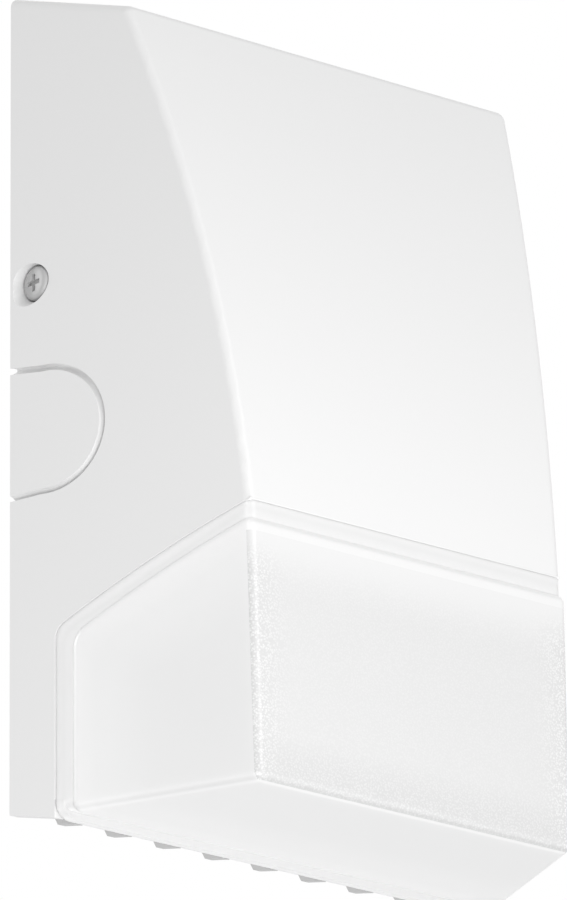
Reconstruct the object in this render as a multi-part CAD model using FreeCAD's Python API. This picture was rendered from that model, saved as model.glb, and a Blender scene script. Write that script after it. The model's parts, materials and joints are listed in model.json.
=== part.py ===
"""Wall pack light: a die-cast housing and wrap-round lens over a folded steel wall plate.

Millimetres. The origin is the centre of the wall face, +Z is up and the front faces -Y.
A depth is a distance out from the wall, so a point at depth d lies at y = -d.
"""
import math
import os

import FreeCAD
import Part

V = FreeCAD.Vector

# ---- overall form -------------------------------------------------------------------------
HEIGHT = 218.0
WIDTH = 152.0
SIDE_DRAFT = math.radians(20.8)
TOP_SLOPE = math.radians(14.5)
BOTTOM_SLOPE = math.radians(11.5)
FRONT_TOP_DEPTH = 31.8
FRONT_LOW_DEPTH = 64.6
FRONT_BULGE = 4.5
LENS_FRONT_LEAN = math.radians(1.6)
WALL = 2.5
RIB_COUNT = 3
RIB_PITCH = 30.0
RIB_THICKNESS = 2.0
RIB_HEIGHT = 4.0
EDGE_ROUND = 3.0
BEHIND_WALL = 30.0
BEYOND_FRONT = 90.0

# ---- lens ---------------------------------------------------------------------------------
LENS_TOP_DROP = 146.2
LENS_BACK_DEPTH = 12.6
SHOULDER_SHARE = 0.345
SHOULDER_ROUND = 5.0
RAISED_SHOULDER_ROUND = 10.5
SEAM_BULGE = 1.3
LENS_BOTTOM_DROP = 218.8
LENS_WALL = 2.4
LENS_RAISE = 1.0
LENS_BORDER = 3.5
LENS_FLANGE = 6.5
LENS_ROUND = 3.0
RAISED_ROUND = 2.5
LIP_THICKNESS = 2.0
LIP_DROP = 2.1
LIP_CORNER = 4.0
LENS_BOSS_RADIUS = 3.2
LENS_BOSS_LENGTH = 8.0
LENS_SCREW_RISE = 30.0
GASKET_GAP = 0.4

# ---- heat sink ----------------------------------------------------------------------------
SINK_PLATE = 3.0
SINK_TOP_RISE = 11.3
SINK_SIDE_GAP = 0.5
FIN_COUNT = 9
SINK_LOW_REACH = 0.4
FIN_EDGE_SPACE = 5.1
FIN_THICKNESS = 2.4
FIN_WALL_GAP = 2.8
FIN_TOP_DROP = 176.0
FIN_CHAMFER = 2.0
FIN_FOOT_CUT = 2.5
FIN_FOOT_RISE = 4.0
RAIL_GAP = 1.0

# ---- light engine -------------------------------------------------------------------------
PAD_THICKNESS = 0.3
BOARD_SIDE_GAP = 1.7
BOARD_END_GAP = 1.1
BOARD_THICKNESS = 1.6
BOARD_TOP_FALL = 4.1
LED_COLUMNS = 8
LED_ROWS = 3
LED_SIZE = 3.0
LED_HEIGHT = 1.0
REFLECTOR_SHEET = 0.8
REFLECTOR_DEPTH = 13.0
REFLECTOR_FLARE = 7.0
CONNECTOR_SIZE = (8.0, 5.2, 5.0)
CONNECTOR_SPACE = 11.0
CONNECTOR_TOP_GAP = 1.0
REFLECTOR_MARGIN = 2.0
REFLECTOR_SIDE_SPACE = 8.5
REFLECTOR_END_SPACE = 4.0

# ---- driver -------------------------------------------------------------------------------
DRIVER_SIDE_GAP = 0.9
DRIVER_HEIGHT = 44.0
DRIVER_BACK_DEPTH = 14.0
DRIVER_FRONT_DEPTH = 38.0
DRIVER_BASE_DROP = 109.0
DRIVER_CAP = 3.0
FOOT_THICKNESS = 2.0
FOOT_TAB = 6.2
FOOT_MARGIN = 4.0
FOOT_HOLE_PITCH = 24.0
DRIVER_BOSS_RADIUS = 3.6
DRIVER_GROOVE = 1.2
DRIVER_GROOVES = 5

# ---- wall plate ---------------------------------------------------------------------------
GASKET_THICKNESS = 1.0
PLATE_THICKNESS = 1.2
PLATE_SIDE_SPACE = 14.0
PLATE_TOP_GAP = 0.8
PLATE_BOTTOM_DROP = 166.0
PLATE_CORNER = 6.0
FLANGE_DEPTH = 9.0
WIRE_HOLE_RADIUS = 11.0
BOX_SPACING = 88.9
BOX_HOLE_RADIUS = 2.4
WALL_SPACING_X = 100.0
WALL_SPACING_Z = 120.0
WALL_HOLE_RADIUS = 2.75
WALL_HOLES_DROP = 94.0
WIRE_HOLE_DROP = 94.0
GROMMET_BORE = 8.0
GROMMET_FLANGE = 13.0
GROMMET_REAR_GAP = 0.1
GASKET_INSET = 2.0
GASKET_HOLE_GAP = 1.5
BOND_X = 30.0
BOND_DROP = 130.0

# ---- side screws --------------------------------------------------------------------------
SCREW_DROP = 78.0
SCREW_DEPTH = 5.6
SCREW_RADIUS = 2.5
SCREW_HEAD_RADIUS = 4.6
SCREW_HEAD_HEIGHT = 2.4
SCREW_LENGTH = 12.0
POCKET_RADIUS = 4.9
POCKET_DEPTH = 3.9
POCKET_FLOOR = 3.0
ACCESS_START = 1.7
ACCESS_LENGTH = 8.0
ACCESS_SLANT = math.radians(36.0)
BOSS_RADIUS = 6.6
WASHER_THICKNESS = 0.6
EAR_HALF_HEIGHT = 7.5
EAR_THICKNESS = 1.5
EAR_DEPTH = 11.0
NUT_WIDTH = 8.0
NUT_THICKNESS = 2.2
RECESS_LENGTH = 4.7
RECESS_WIDTH = 1.1
RECESS_DEPTH = 1.3

# ---- knock-outs ---------------------------------------------------------------------------
KNOCKOUT_DROP = 118.0
KNOCKOUT_RADIUS = 16.3
KNOCKOUT_REACH = 10.5
KNOCKOUT_DRAFT = math.radians(4.0)
GROOVE_RADIUS = 0.85
GROOVE_RUN_ON = 3.0

# ---- small fasteners and leads ------------------------------------------------------------
M3_RADIUS = 1.5
M3_HEAD_RADIUS = 2.8
M3_HEAD_HEIGHT = 2.0
THREAD_GAP = 0.05
THREAD_LENGTH = 9.0
DOME_SHARE = 0.6
BOARD_SCREW_GRIP = 2.6
PIECE_GAP = 0.3
LEAD_RADIUS = 1.2
THIN_LEAD_RADIUS = 0.7
LEAD_GROMMET_HOLE = 3.4
LEAD_GROMMET_BORE = 2.4
LEAD_GROMMET_FLANGE = 5.0
CONE_LENGTH = 22.0
CONE_RADIUS = 5.5
CONE_TIP_RADIUS = 3.2
CONE_SKIRT = 5.0
CONE_BORE = 2.2
CONE_GRIP = 8.0
CONE_DEPTHS = (20.0, 32.0)
CONE_MOUTH_X = 14.0
GROUND_CONE_X = -34.0
GROUND_CONE_DEPTH = 26.0
GROUND_X = -40.0
GROUND_DROP = 42.0
GROUND_DEPTH = 30.0
RING_RADIUS = 3.4
RING_THICKNESS = 0.8
SIDE_LOOP = 6.5
SUPPLY_START_RISE = 12.0
OUTPUT_START_DROP = 8.0
OUTPUT_START_DEPTH = 10.0
OUTPUT_DEPTH_STEP = 6.0
OUTPUT_LEAD_GAP = 1.4
OUTPUT_LOW = (22.0, 14.0)
OUTPUT_SLANT = 10.0
BEND_SHARE = 0.45
LEAD_GROMMET_SLEEVE = 6.0

# ---- places worked out from the sizes above -----------------------------------------------
TOP_Z = HEIGHT / 2
FAR = 400.0


def from_top(drop):
    """Height of a feature that is set by its distance down from the top of the wall face."""
    return TOP_Z - drop


LENS_TOP_Z = from_top(LENS_TOP_DROP)
LENS_BOTTOM_Z = from_top(LENS_BOTTOM_DROP)
LIP_Z = LENS_BOTTOM_Z - LIP_DROP
SHOULDER_Z = LENS_TOP_Z - SHOULDER_SHARE * (LENS_TOP_Z - LENS_BOTTOM_Z)
SINK_FRONT_DEPTH = LENS_BACK_DEPTH - GASKET_GAP
SINK_BACK_DEPTH = SINK_FRONT_DEPTH - SINK_PLATE
SINK_TOP_Z = SHOULDER_Z + SINK_TOP_RISE
RAIL_TOP_Z = SINK_TOP_Z + RAIL_GAP
FIN_TOP_Z = from_top(FIN_TOP_DROP)
BOARD_TOP_Z = SHOULDER_Z - BOARD_TOP_FALL
BOARD_BACK_DEPTH = SINK_FRONT_DEPTH + PAD_THICKNESS
BOARD_FRONT_DEPTH = BOARD_BACK_DEPTH + BOARD_THICKNESS
PLATE_BACK_DEPTH = GASKET_THICKNESS
PLATE_FRONT_DEPTH = PLATE_BACK_DEPTH + PLATE_THICKNESS
PLATE_BOTTOM_Z = from_top(PLATE_BOTTOM_DROP)
WIRE_HOLE_Z = from_top(WIRE_HOLE_DROP)
WALL_HOLES_Z = from_top(WALL_HOLES_DROP)
DRIVER_BASE_Z = from_top(DRIVER_BASE_DROP)
DRIVER_MID_Z = DRIVER_BASE_Z + DRIVER_HEIGHT / 2
FOOT_FRONT_DEPTH = DRIVER_FRONT_DEPTH + FOOT_THICKNESS
SCREW_Z = from_top(SCREW_DROP)
SINK_SCREW_Z = (SINK_TOP_Z + SHOULDER_Z) / 2
LEAD_DEPTH = BOARD_FRONT_DEPTH + CONNECTOR_SIZE[1] / 2
GROUND_Z = from_top(GROUND_DROP)
BOND_Z = from_top(BOND_DROP)
KNOCKOUT_Z = from_top(KNOCKOUT_DROP)


def half_width(depth):
    """Half the housing's outer width at a depth."""
    return WIDTH / 2 - depth * math.tan(SIDE_DRAFT)


def inner_half_width(depth):
    """Half the housing's inner width at a depth."""
    return half_width(depth) - WALL / math.cos(SIDE_DRAFT)


def top_z(depth):
    """Height of the sloped top at a depth."""
    return TOP_Z - depth * math.tan(TOP_SLOPE)


def bottom_z(depth):
    """Height of the side strips' lower edge at a depth."""
    return -TOP_Z - depth * math.tan(BOTTOM_SLOPE)


# ---- sizes that follow from the space there is --------------------------------------------
PLATE_WIDTH = WIDTH - 2 * PLATE_SIDE_SPACE
FIN_PITCH = 2 * (inner_half_width(SINK_FRONT_DEPTH) - FIN_EDGE_SPACE) / (FIN_COUNT - 1)
LENS_SCREW_X = FIN_PITCH * (FIN_COUNT - 2) / 2
BOARD_WIDTH = 2 * (LENS_SCREW_X - LENS_BOSS_RADIUS - BOARD_SIDE_GAP)
BOARD_BOTTOM_Z = LENS_BOTTOM_Z + LENS_WALL + LENS_FLANGE + BOARD_END_GAP
BOARD_HEIGHT = BOARD_TOP_Z - BOARD_BOTTOM_Z
BOARD_MID_Z = (BOARD_TOP_Z + BOARD_BOTTOM_Z) / 2
TRAY_HALF_X = BOARD_WIDTH / 2 - REFLECTOR_SIDE_SPACE
TRAY_HALF_Z = BOARD_HEIGHT / 2 - REFLECTOR_END_SPACE
LED_PITCH_X = 2 * (TRAY_HALF_X - REFLECTOR_MARGIN - LED_SIZE / 2) / (LED_COLUMNS - 1)
LED_PITCH_Z = 2 * (TRAY_HALF_Z - REFLECTOR_MARGIN - LED_SIZE / 2) / (LED_ROWS - 1)
CONNECTOR_X = CONNECTOR_SPACE - BOARD_WIDTH / 2
FOOT_LENGTH = 2 * (inner_half_width(FOOT_FRONT_DEPTH) - DRIVER_SIDE_GAP)
DRIVER_LENGTH = FOOT_LENGTH - 2 * (FOOT_TAB + DRIVER_CAP)


# ---- drawing helpers ----------------------------------------------------------------------
def at(x, depth, z):
    return V(x, -depth, z)


def outline(items, place):
    """Closed face from points; a pair (through, end) of points is an arc to its end."""
    here = place(*items[0])
    first = here
    edges = []
    for item in items[1:]:
        if isinstance(item[0], tuple):
            through = place(*item[0])
            end = place(*item[1])
            edges.append(Part.Arc(here, through, end).toShape())
        else:
            end = place(*item)
            edges.append(Part.makeLine(here, end))
        here = end
    edges.append(Part.makeLine(here, first))
    return Part.Face(Part.Wire(edges))


def side_face(items):
    """Face in the side view, from (depth, z) points, in the plane x = 0."""
    return outline(items, lambda depth, z: at(0, depth, z))


def across(face, half_length=FAR):
    """Side-view face drawn out both ways along X."""
    moved = face.copy()
    moved.translate(V(-half_length, 0, 0))
    return moved.extrude(V(2 * half_length, 0, 0))


def block(x0, x1, depth0, depth1, z0, z1):
    return Part.makeBox(x1 - x0, depth1 - depth0, z1 - z0, V(x0, -depth1, z0))


def rod(radius, start, end):
    return Part.makeCylinder(radius, (end - start).Length, start, end - start)


def bulge_point(start, end, rise):
    """Middle of an arc that rises by a given amount to the left of its chord."""
    middle = ((start[0] + end[0]) / 2, (start[1] + end[1]) / 2)
    chord = (end[0] - start[0], end[1] - start[1])
    length = math.hypot(*chord)
    return (middle[0] - chord[1] / length * rise, middle[1] + chord[0] / length * rise)


def mirrored(shape):
    return shape.mirror(V(0, 0, 0), V(1, 0, 0))


def both_sides(shape):
    return [shape, mirrored(shape)]


def rounded(shape, radius, wanted):
    """Rounds the edges that the test picks."""
    edges = [edge for edge in shape.Edges if wanted(edge)]
    return shape.makeFillet(radius, edges)


def rounded_plate(width, z0, z1, depth0, depth1, corner):
    """Upright plate with rounded corners."""
    plate = block(-width / 2, width / 2, depth0, depth1, z0, z1)
    edges = [edge for edge in plate.Edges if abs(edge.tangentAt(edge.FirstParameter).y) > 0.9]
    return plate.makeFillet(corner, edges)


# ---- shared envelope of the housing and lens ----------------------------------------------
def envelope_profile():
    """Side view of housing and lens together, run on behind the wall so that it can be inset."""
    behind = -BEHIND_WALL
    start = (FRONT_TOP_DEPTH, top_z(FRONT_TOP_DEPTH))
    end = (FRONT_LOW_DEPTH, LENS_TOP_Z)
    through = bulge_point(end, start, -FRONT_BULGE)
    foot = FRONT_LOW_DEPTH + (LENS_TOP_Z - LENS_BOTTOM_Z) * math.tan(LENS_FRONT_LEAN)
    return side_face([
        (behind, top_z(behind)),
        start,
        (through, end),
        (foot, LENS_BOTTOM_Z),
        (behind, LENS_BOTTOM_Z),
    ])


def taper_prism(inset):
    """Plan view: sides that draw in towards the front, moved in by an inset."""
    near = -BEHIND_WALL
    far = BEYOND_FRONT
    trim = inset / math.cos(SIDE_DRAFT)
    corners = [
        V(-half_width(near) + trim, -near, -FAR),
        V(half_width(near) - trim, -near, -FAR),
        V(half_width(far) - trim, -far, -FAR),
        V(-half_width(far) + trim, -far, -FAR),
    ]
    corners.append(corners[0])
    return Part.Face(Part.makePolygon(corners)).extrude(V(0, 0, 2 * FAR))


def envelope(inset):
    profile = envelope_profile()
    if inset:
        profile = profile.makeOffset2D(-inset, 2)
    return across(profile).common(taper_prism(inset))


def lens_region(offset, shoulder_round=SHOULDER_ROUND):
    """Side-view face in front of and below the lens's border, moved out by an offset."""
    shoulder = (LENS_BACK_DEPTH, SHOULDER_Z)
    end = (FRONT_LOW_DEPTH, LENS_TOP_Z)
    through = bulge_point(shoulder, end, SEAM_BULGE)
    chord = math.dist(shoulder, end)
    slope = math.atan2(end[1] - shoulder[1], end[0] - shoulder[0]) - 2 * math.atan(2 * SEAM_BULGE / chord)
    beyond = (end[0] + FAR * math.cos(slope), end[1] + FAR * math.sin(slope))
    edge_face = side_face([
        (LENS_BACK_DEPTH, -FAR),
        shoulder,
        (through, end),
        beyond,
        (beyond[0], -FAR),
    ])
    region = across(edge_face, 1.0)
    corner = at(0, *shoulder)
    soft = [edge for edge in region.Edges
            if len(edge.Vertexes) == 2 and all(
                abs(v.Y - corner.y) < 0.01 and abs(v.Z - corner.z) < 0.01 for v in edge.Vertexes)]
    region = region.makeFillet(shoulder_round, soft)
    face = min(region.Faces, key=lambda f: f.CenterOfMass.x)
    face = face.copy()
    face.translate(V(1.0, 0, 0))
    if offset:
        face = face.makeOffset2D(offset, 2)
    return face


def in_front_of_wall(shape):
    return shape.cut(Part.makeBox(2 * FAR, FAR, 2 * FAR, V(-FAR, 0, -FAR)))


# ---- side screw frame ---------------------------------------------------------------------
SCREW_MOUTH_X = -half_width(SCREW_DEPTH)


def along_screw(distance):
    """Point on the left screw's axis, at a distance in from the side face."""
    return at(SCREW_MOUTH_X + distance, SCREW_DEPTH, SCREW_Z)


def screw_block(distance0, distance1, half_up, half_deep):
    """Box round the left side screw's axis, between two distances in from the side face."""
    return block(SCREW_MOUTH_X + distance0, SCREW_MOUTH_X + distance1, SCREW_DEPTH - half_deep,
                 SCREW_DEPTH + half_deep, SCREW_Z - half_up, SCREW_Z + half_up)


EAR_OUTER = POCKET_DEPTH + POCKET_FLOOR + PIECE_GAP
EAR_INNER = EAR_OUTER + EAR_THICKNESS
NUT_OUTER = EAR_INNER + PIECE_GAP


# ---- housing ------------------------------------------------------------------------------
def housing_outer():
    body = envelope(0)
    top_edge = top_z(FRONT_TOP_DEPTH)

    def outer_edge(edge):
        middle = edge.valueAt((edge.FirstParameter + edge.LastParameter) / 2)
        upper = middle.z > LENS_TOP_Z
        on_side = abs(abs(middle.x) - half_width(-middle.y)) < 0.05
        on_top_line = abs(middle.z - top_edge) < 0.05 and abs(middle.x) < 1
        return (upper and on_side and abs(middle.y) < BEYOND_FRONT) or on_top_line

    body = rounded(body, EDGE_ROUND, outer_edge)
    strips = across(side_face([
        (0, TOP_Z + 1),
        (FAR, TOP_Z + 1),
        (FAR, bottom_z(FAR)),
        (0, bottom_z(0)),
    ]))
    lower = across(side_face([
        (0, 0),
        (LENS_BACK_DEPTH, 0),
        (LENS_BACK_DEPTH, bottom_z(LENS_BACK_DEPTH)),
        (0, bottom_z(0)),
    ])).common(taper_prism(0))
    return in_front_of_wall(body.common(strips).fuse(lower)).removeSplitter()


def housing_cavity():
    """The open inside: the driver room above the slanted partition, and the strips below it."""
    room = across(envelope_profile().makeOffset2D(-WALL, 2))
    lamp_side = across(lens_region(GASKET_GAP + WALL))
    rail = block(-FAR, FAR, SINK_FRONT_DEPTH, FAR, -FAR, RAIL_TOP_Z)
    room = room.cut(lamp_side).cut(rail)
    strips = block(-FAR, FAR, -BEHIND_WALL, SINK_FRONT_DEPTH, -FAR, RAIL_TOP_Z + 1)
    return room.fuse(strips).common(taper_prism(WALL))


def knockout_groove():
    """Round-bottomed score line along a U on the left side face, open at the wall edge."""
    def on_side(reach, z):
        depth = reach * math.cos(SIDE_DRAFT)
        return at(-half_width(depth), depth, z)

    lift = KNOCKOUT_RADIUS * math.cos(KNOCKOUT_DRAFT)
    bend = KNOCKOUT_REACH - KNOCKOUT_RADIUS * math.sin(KNOCKOUT_DRAFT)
    spread = lift + (bend + GROOVE_RUN_ON) * math.tan(KNOCKOUT_DRAFT)
    upper = on_side(bend, KNOCKOUT_Z + lift)
    lower = on_side(bend, KNOCKOUT_Z - lift)
    start = on_side(-GROOVE_RUN_ON, KNOCKOUT_Z + spread)
    path = Part.Wire([
        Part.makeLine(start, upper),
        Part.Arc(upper, on_side(KNOCKOUT_REACH + KNOCKOUT_RADIUS, KNOCKOUT_Z), lower).toShape(),
        Part.makeLine(lower, on_side(-GROOVE_RUN_ON, KNOCKOUT_Z - spread)),
    ])
    ring = Part.Wire(Part.makeCircle(GROOVE_RADIUS, start, upper - start))
    return path.makePipeShell([ring], True, False)


def side_screw_boss():
    return rod(BOSS_RADIUS, along_screw(0), along_screw(POCKET_DEPTH + POCKET_FLOOR))


def side_screw_holes():
    """Pocket and screw hole, with the slanted way in that a screwdriver comes up through."""
    pocket = rod(POCKET_RADIUS, along_screw(-POCKET_RADIUS), along_screw(POCKET_DEPTH))
    rim = Part.Face(Part.Wire(Part.makeCircle(POCKET_RADIUS, along_screw(ACCESS_START), V(1, 0, 0))))
    access = rim.extrude(V(-math.cos(ACCESS_SLANT), 0, -math.sin(ACCESS_SLANT)) * ACCESS_LENGTH)
    hole = rod(SCREW_RADIUS + PIECE_GAP, along_screw(0), along_screw(EAR_OUTER))
    return pocket.fuse(access).fuse(hole)


def driver_boss_places():
    reach = (DRIVER_LENGTH / 2 + DRIVER_CAP + FOOT_LENGTH / 2) / 2
    return [(sx * reach, DRIVER_MID_Z + sz * FOOT_HOLE_PITCH / 2) for sx in (-1, 1) for sz in (-1, 1)]


def front_ribs():
    """Upright stiffening ribs inside the curved front."""
    ribs = []
    inner = across(envelope_profile().makeOffset2D(-WALL, 2))
    rib_space = across(envelope_profile().makeOffset2D(-WALL - RIB_HEIGHT, 2))
    lamp_side = across(lens_region(GASKET_GAP + WALL))
    for index in range(RIB_COUNT):
        x = (index - (RIB_COUNT - 1) / 2) * RIB_PITCH
        slab = block(x - RIB_THICKNESS / 2, x + RIB_THICKNESS / 2, FRONT_TOP_DEPTH, FAR, -FAR, FAR)
        ribs.append(slab.common(inner).cut(rib_space).cut(lamp_side))
    return ribs


def lens_top_screw_places():
    """Two screws down through the partition into the lens's upper flange, near the front."""
    depth = FRONT_LOW_DEPTH - LENS_WALL - LENS_FLANGE
    x = half_width(depth) - LENS_WALL - LENS_FLANGE
    return [(x, depth), (-x, depth)]


def lens_back_screw_places():
    """Four screws through the heat sink into the lens's back flange, between two fins."""
    low = LENS_BOTTOM_Z + LENS_WALL + LENS_FLANGE / 2
    return [(sx * LENS_SCREW_X, z) for sx in (-1, 1) for z in (low, low + LENS_SCREW_RISE)]


def sink_rail_screw_places():
    reach = LENS_SCREW_X
    return (-reach, 0.0, reach)


def make_housing():
    outer = housing_outer().cut(across(lens_region(GASKET_GAP)))
    body = outer.cut(housing_cavity())
    additions = []
    for boss in both_sides(side_screw_boss()):
        additions.append(boss.common(outer))
    for x, z in driver_boss_places():
        boss = rod(DRIVER_BOSS_RADIUS, at(x, FOOT_FRONT_DEPTH, z), at(x, FRONT_LOW_DEPTH, z))
        additions.append(boss.common(outer))
    ground = rod(DRIVER_BOSS_RADIUS, at(GROUND_X, GROUND_DEPTH, GROUND_Z),
                 at(GROUND_X, FRONT_LOW_DEPTH, GROUND_Z))
    additions.append(ground.common(outer))
    for x, depth in lens_top_screw_places():
        seat = partition_top_z(depth)
        pad = rod(M3_HEAD_RADIUS + THREAD_GAP, at(x, depth, seat - 2 * WALL), at(x, depth, seat))
        additions.append(pad.common(outer))
    additions.extend(front_ribs())
    body = body.multiFuse(additions)
    thread = M3_RADIUS + THREAD_GAP
    cuts = both_sides(side_screw_holes()) + both_sides(knockout_groove())
    for x, z in driver_boss_places():
        cuts.append(rod(thread, at(x, FOOT_FRONT_DEPTH - 1, z), at(x, FOOT_FRONT_DEPTH + THREAD_LENGTH, z)))
    cuts.append(rod(thread, at(GROUND_X, GROUND_DEPTH - 1, GROUND_Z),
                    at(GROUND_X, GROUND_DEPTH + THREAD_LENGTH, GROUND_Z)))
    for x in sink_rail_screw_places():
        cuts.append(rod(thread, at(x, SINK_FRONT_DEPTH - 1, SINK_SCREW_Z),
                        at(x, SINK_FRONT_DEPTH + THREAD_LENGTH, SINK_SCREW_Z)))
    cuts.append(rod(LEAD_GROMMET_HOLE, at(CONNECTOR_X, LEAD_DEPTH, LENS_BOTTOM_Z),
                    at(CONNECTOR_X, LEAD_DEPTH, RAIL_TOP_Z + 5)))
    for x, depth in lens_top_screw_places():
        cuts.append(rod(M3_RADIUS + PIECE_GAP, at(x, depth, LENS_BOTTOM_Z), at(x, depth, LENS_TOP_Z + 3)))
    for cutter in cuts:
        body = body.cut(cutter)
    return body.removeSplitter()


# ---- heat sink ----------------------------------------------------------------------------
def fin_profile():
    """One fin in the side view, its sloping foot in line with the lens's drip lip."""
    foot_back = FIN_WALL_GAP + FIN_FOOT_CUT
    foot_z = LIP_Z + (SINK_FRONT_DEPTH - foot_back) * math.tan(BOTTOM_SLOPE)
    return side_face([
        (SINK_FRONT_DEPTH, FIN_TOP_Z),
        (FIN_WALL_GAP + FIN_CHAMFER, FIN_TOP_Z - FIN_CHAMFER),
        (FIN_WALL_GAP, FIN_TOP_Z - 2 * FIN_CHAMFER),
        (FIN_WALL_GAP, foot_z + FIN_FOOT_RISE),
        (foot_back, foot_z),
        (SINK_FRONT_DEPTH, LIP_Z),
    ])


def make_heat_sink():
    base = block(-FAR, FAR, SINK_BACK_DEPTH, SINK_FRONT_DEPTH, LENS_BOTTOM_Z - SINK_LOW_REACH,
                 SINK_TOP_Z)
    base = base.common(taper_prism(WALL + SINK_SIDE_GAP))
    fins = []
    profile = fin_profile()
    for index in range(FIN_COUNT):
        fin = profile.copy()
        fin.translate(V((index - (FIN_COUNT - 1) / 2) * FIN_PITCH - FIN_THICKNESS / 2, 0, 0))
        fins.append(fin.extrude(V(FIN_THICKNESS, 0, 0)))
    body = base.multiFuse(fins)
    near = SINK_BACK_DEPTH - 1
    far = SINK_FRONT_DEPTH + 1
    cuts = []
    for x in sink_rail_screw_places():
        cuts.append(rod(M3_RADIUS + PIECE_GAP, at(x, near, SINK_SCREW_Z), at(x, far, SINK_SCREW_Z)))
    for x, z in lens_back_screw_places():
        cuts.append(rod(M3_RADIUS + PIECE_GAP, at(x, near, z), at(x, far, z)))
    for x, z in board_screw_places():
        cuts.append(rod(M3_RADIUS + THREAD_GAP, at(x, SINK_FRONT_DEPTH - BOARD_SCREW_GRIP, z), at(x, far, z)))
    for cutter in cuts:
        body = body.cut(cutter)
    return body.removeSplitter()


def pan_screw(seat, direction, length, radius=M3_RADIUS, head_radius=M3_HEAD_RADIUS, head_height=M3_HEAD_HEIGHT):
    """Pan-head screw: seat is the point under its head, direction points to its tip."""
    head = Part.makeCylinder(head_radius, head_height, seat, direction * -1)
    dome = [edge for edge in head.Edges
            if len(edge.Vertexes) == 1 and (edge.CenterOfMass - seat).Length > head_height / 2]
    head = head.makeFillet(head_height * DOME_SHARE, dome)
    return head.fuse(Part.makeCylinder(radius, length, seat, direction)).removeSplitter()


def make_heat_sink_screws():
    outward = V(0, -1, 0)
    return Part.makeCompound([pan_screw(at(x, SINK_BACK_DEPTH, SINK_SCREW_Z), outward, SINK_PLATE + THREAD_LENGTH - 1)
                              for x in sink_rail_screw_places()])


# ---- light engine -------------------------------------------------------------------------
def board_screw_places():
    x = BOARD_WIDTH / 2 - M3_HEAD_RADIUS
    z = BOARD_HEIGHT / 2 - M3_HEAD_RADIUS
    return [(sx * x, BOARD_MID_Z + sz * z) for sx in (-1, 1) for sz in (-1, 1)]


def drilled_sheet(depth0, depth1):
    half = BOARD_WIDTH / 2
    sheet = block(-half, half, depth0, depth1, BOARD_TOP_Z - BOARD_HEIGHT, BOARD_TOP_Z)
    for x, z in board_screw_places():
        sheet = sheet.cut(rod(M3_RADIUS + PIECE_GAP, at(x, depth0 - 1, z), at(x, depth1 + 1, z)))
    return sheet


def led_places():
    for column in range(LED_COLUMNS):
        for row in range(LED_ROWS):
            x = (column - (LED_COLUMNS - 1) / 2) * LED_PITCH_X
            z = BOARD_MID_Z + (row - (LED_ROWS - 1) / 2) * LED_PITCH_Z
            yield x, z


def make_leds():
    half = LED_SIZE / 2
    front = BOARD_FRONT_DEPTH + LED_HEIGHT
    return Part.makeCompound([block(x - half, x + half, BOARD_FRONT_DEPTH, front, z - half, z + half)
                              for x, z in led_places()])


def flared_box(grow, depth0, depth1):
    """Ruled loft between two upright rectangles, wider towards the front."""
    wires = []
    for depth in (depth0, depth1):
        spread = grow + REFLECTOR_FLARE * (depth - BOARD_FRONT_DEPTH) / REFLECTOR_DEPTH
        corners = [at(sx * (TRAY_HALF_X + spread), depth, BOARD_MID_Z + sz * (TRAY_HALF_Z + spread))
                   for sx, sz in ((-1, -1), (1, -1), (1, 1), (-1, 1), (-1, -1))]
        wires.append(Part.makePolygon(corners))
    return Part.makeLoft(wires, True, True)


def make_reflector():
    front = BOARD_FRONT_DEPTH + REFLECTOR_DEPTH
    tray = flared_box(REFLECTOR_SHEET, BOARD_FRONT_DEPTH, front)
    foot = block(-BOARD_WIDTH / 2 + PIECE_GAP, BOARD_WIDTH / 2 - PIECE_GAP, BOARD_FRONT_DEPTH,
                 BOARD_FRONT_DEPTH + REFLECTOR_SHEET, BOARD_TOP_Z - BOARD_HEIGHT + PIECE_GAP,
                 BOARD_TOP_Z - PIECE_GAP)
    reach = CONNECTOR_SIZE[0] / 2 + REFLECTOR_SHEET
    notch = block(CONNECTOR_X - reach, CONNECTOR_X + reach, BOARD_BACK_DEPTH,
                  BOARD_FRONT_DEPTH + CONNECTOR_SIZE[1] + REFLECTOR_SHEET,
                  BOARD_TOP_Z - CONNECTOR_SIZE[2] - CONNECTOR_TOP_GAP - REFLECTOR_SHEET, FAR)
    body = tray.fuse(foot).cut(notch)
    body = body.cut(flared_box(0, BOARD_FRONT_DEPTH - 1, front + 1))
    for x, z in board_screw_places():
        body = body.cut(rod(M3_RADIUS + PIECE_GAP, at(x, BOARD_BACK_DEPTH, z), at(x, BOARD_FRONT_DEPTH + 3, z)))
    return body.removeSplitter()


def make_board_screws():
    seat_depth = BOARD_FRONT_DEPTH + REFLECTOR_SHEET
    length = seat_depth - SINK_FRONT_DEPTH + BOARD_SCREW_GRIP - PIECE_GAP
    return Part.makeCompound([pan_screw(at(x, seat_depth, z), V(0, 1, 0), length)
                              for x, z in board_screw_places()])


def make_led_connector():
    width, deep, tall = CONNECTOR_SIZE
    top = BOARD_TOP_Z - CONNECTOR_TOP_GAP
    body = block(CONNECTOR_X - width / 2, CONNECTOR_X + width / 2, BOARD_FRONT_DEPTH,
                 BOARD_FRONT_DEPTH + deep, top - tall, top)
    for x in output_lead_xs():
        body = body.cut(rod(THIN_LEAD_RADIUS + THREAD_GAP, at(x, LEAD_DEPTH, top - tall / 2), at(x, LEAD_DEPTH, top + 1)))
    return body


# ---- lens ---------------------------------------------------------------------------------
def soft_lens_block(inset):
    """Envelope with its front, side and bottom edges rounded below the housing."""
    def low_edge(edge):
        middle = edge.valueAt((edge.FirstParameter + edge.LastParameter) / 2)
        return middle.z < LENS_TOP_Z and middle.y < 0 and middle.y > -2 * FRONT_LOW_DEPTH

    return rounded(envelope(inset), LENS_ROUND, low_edge)


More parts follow.
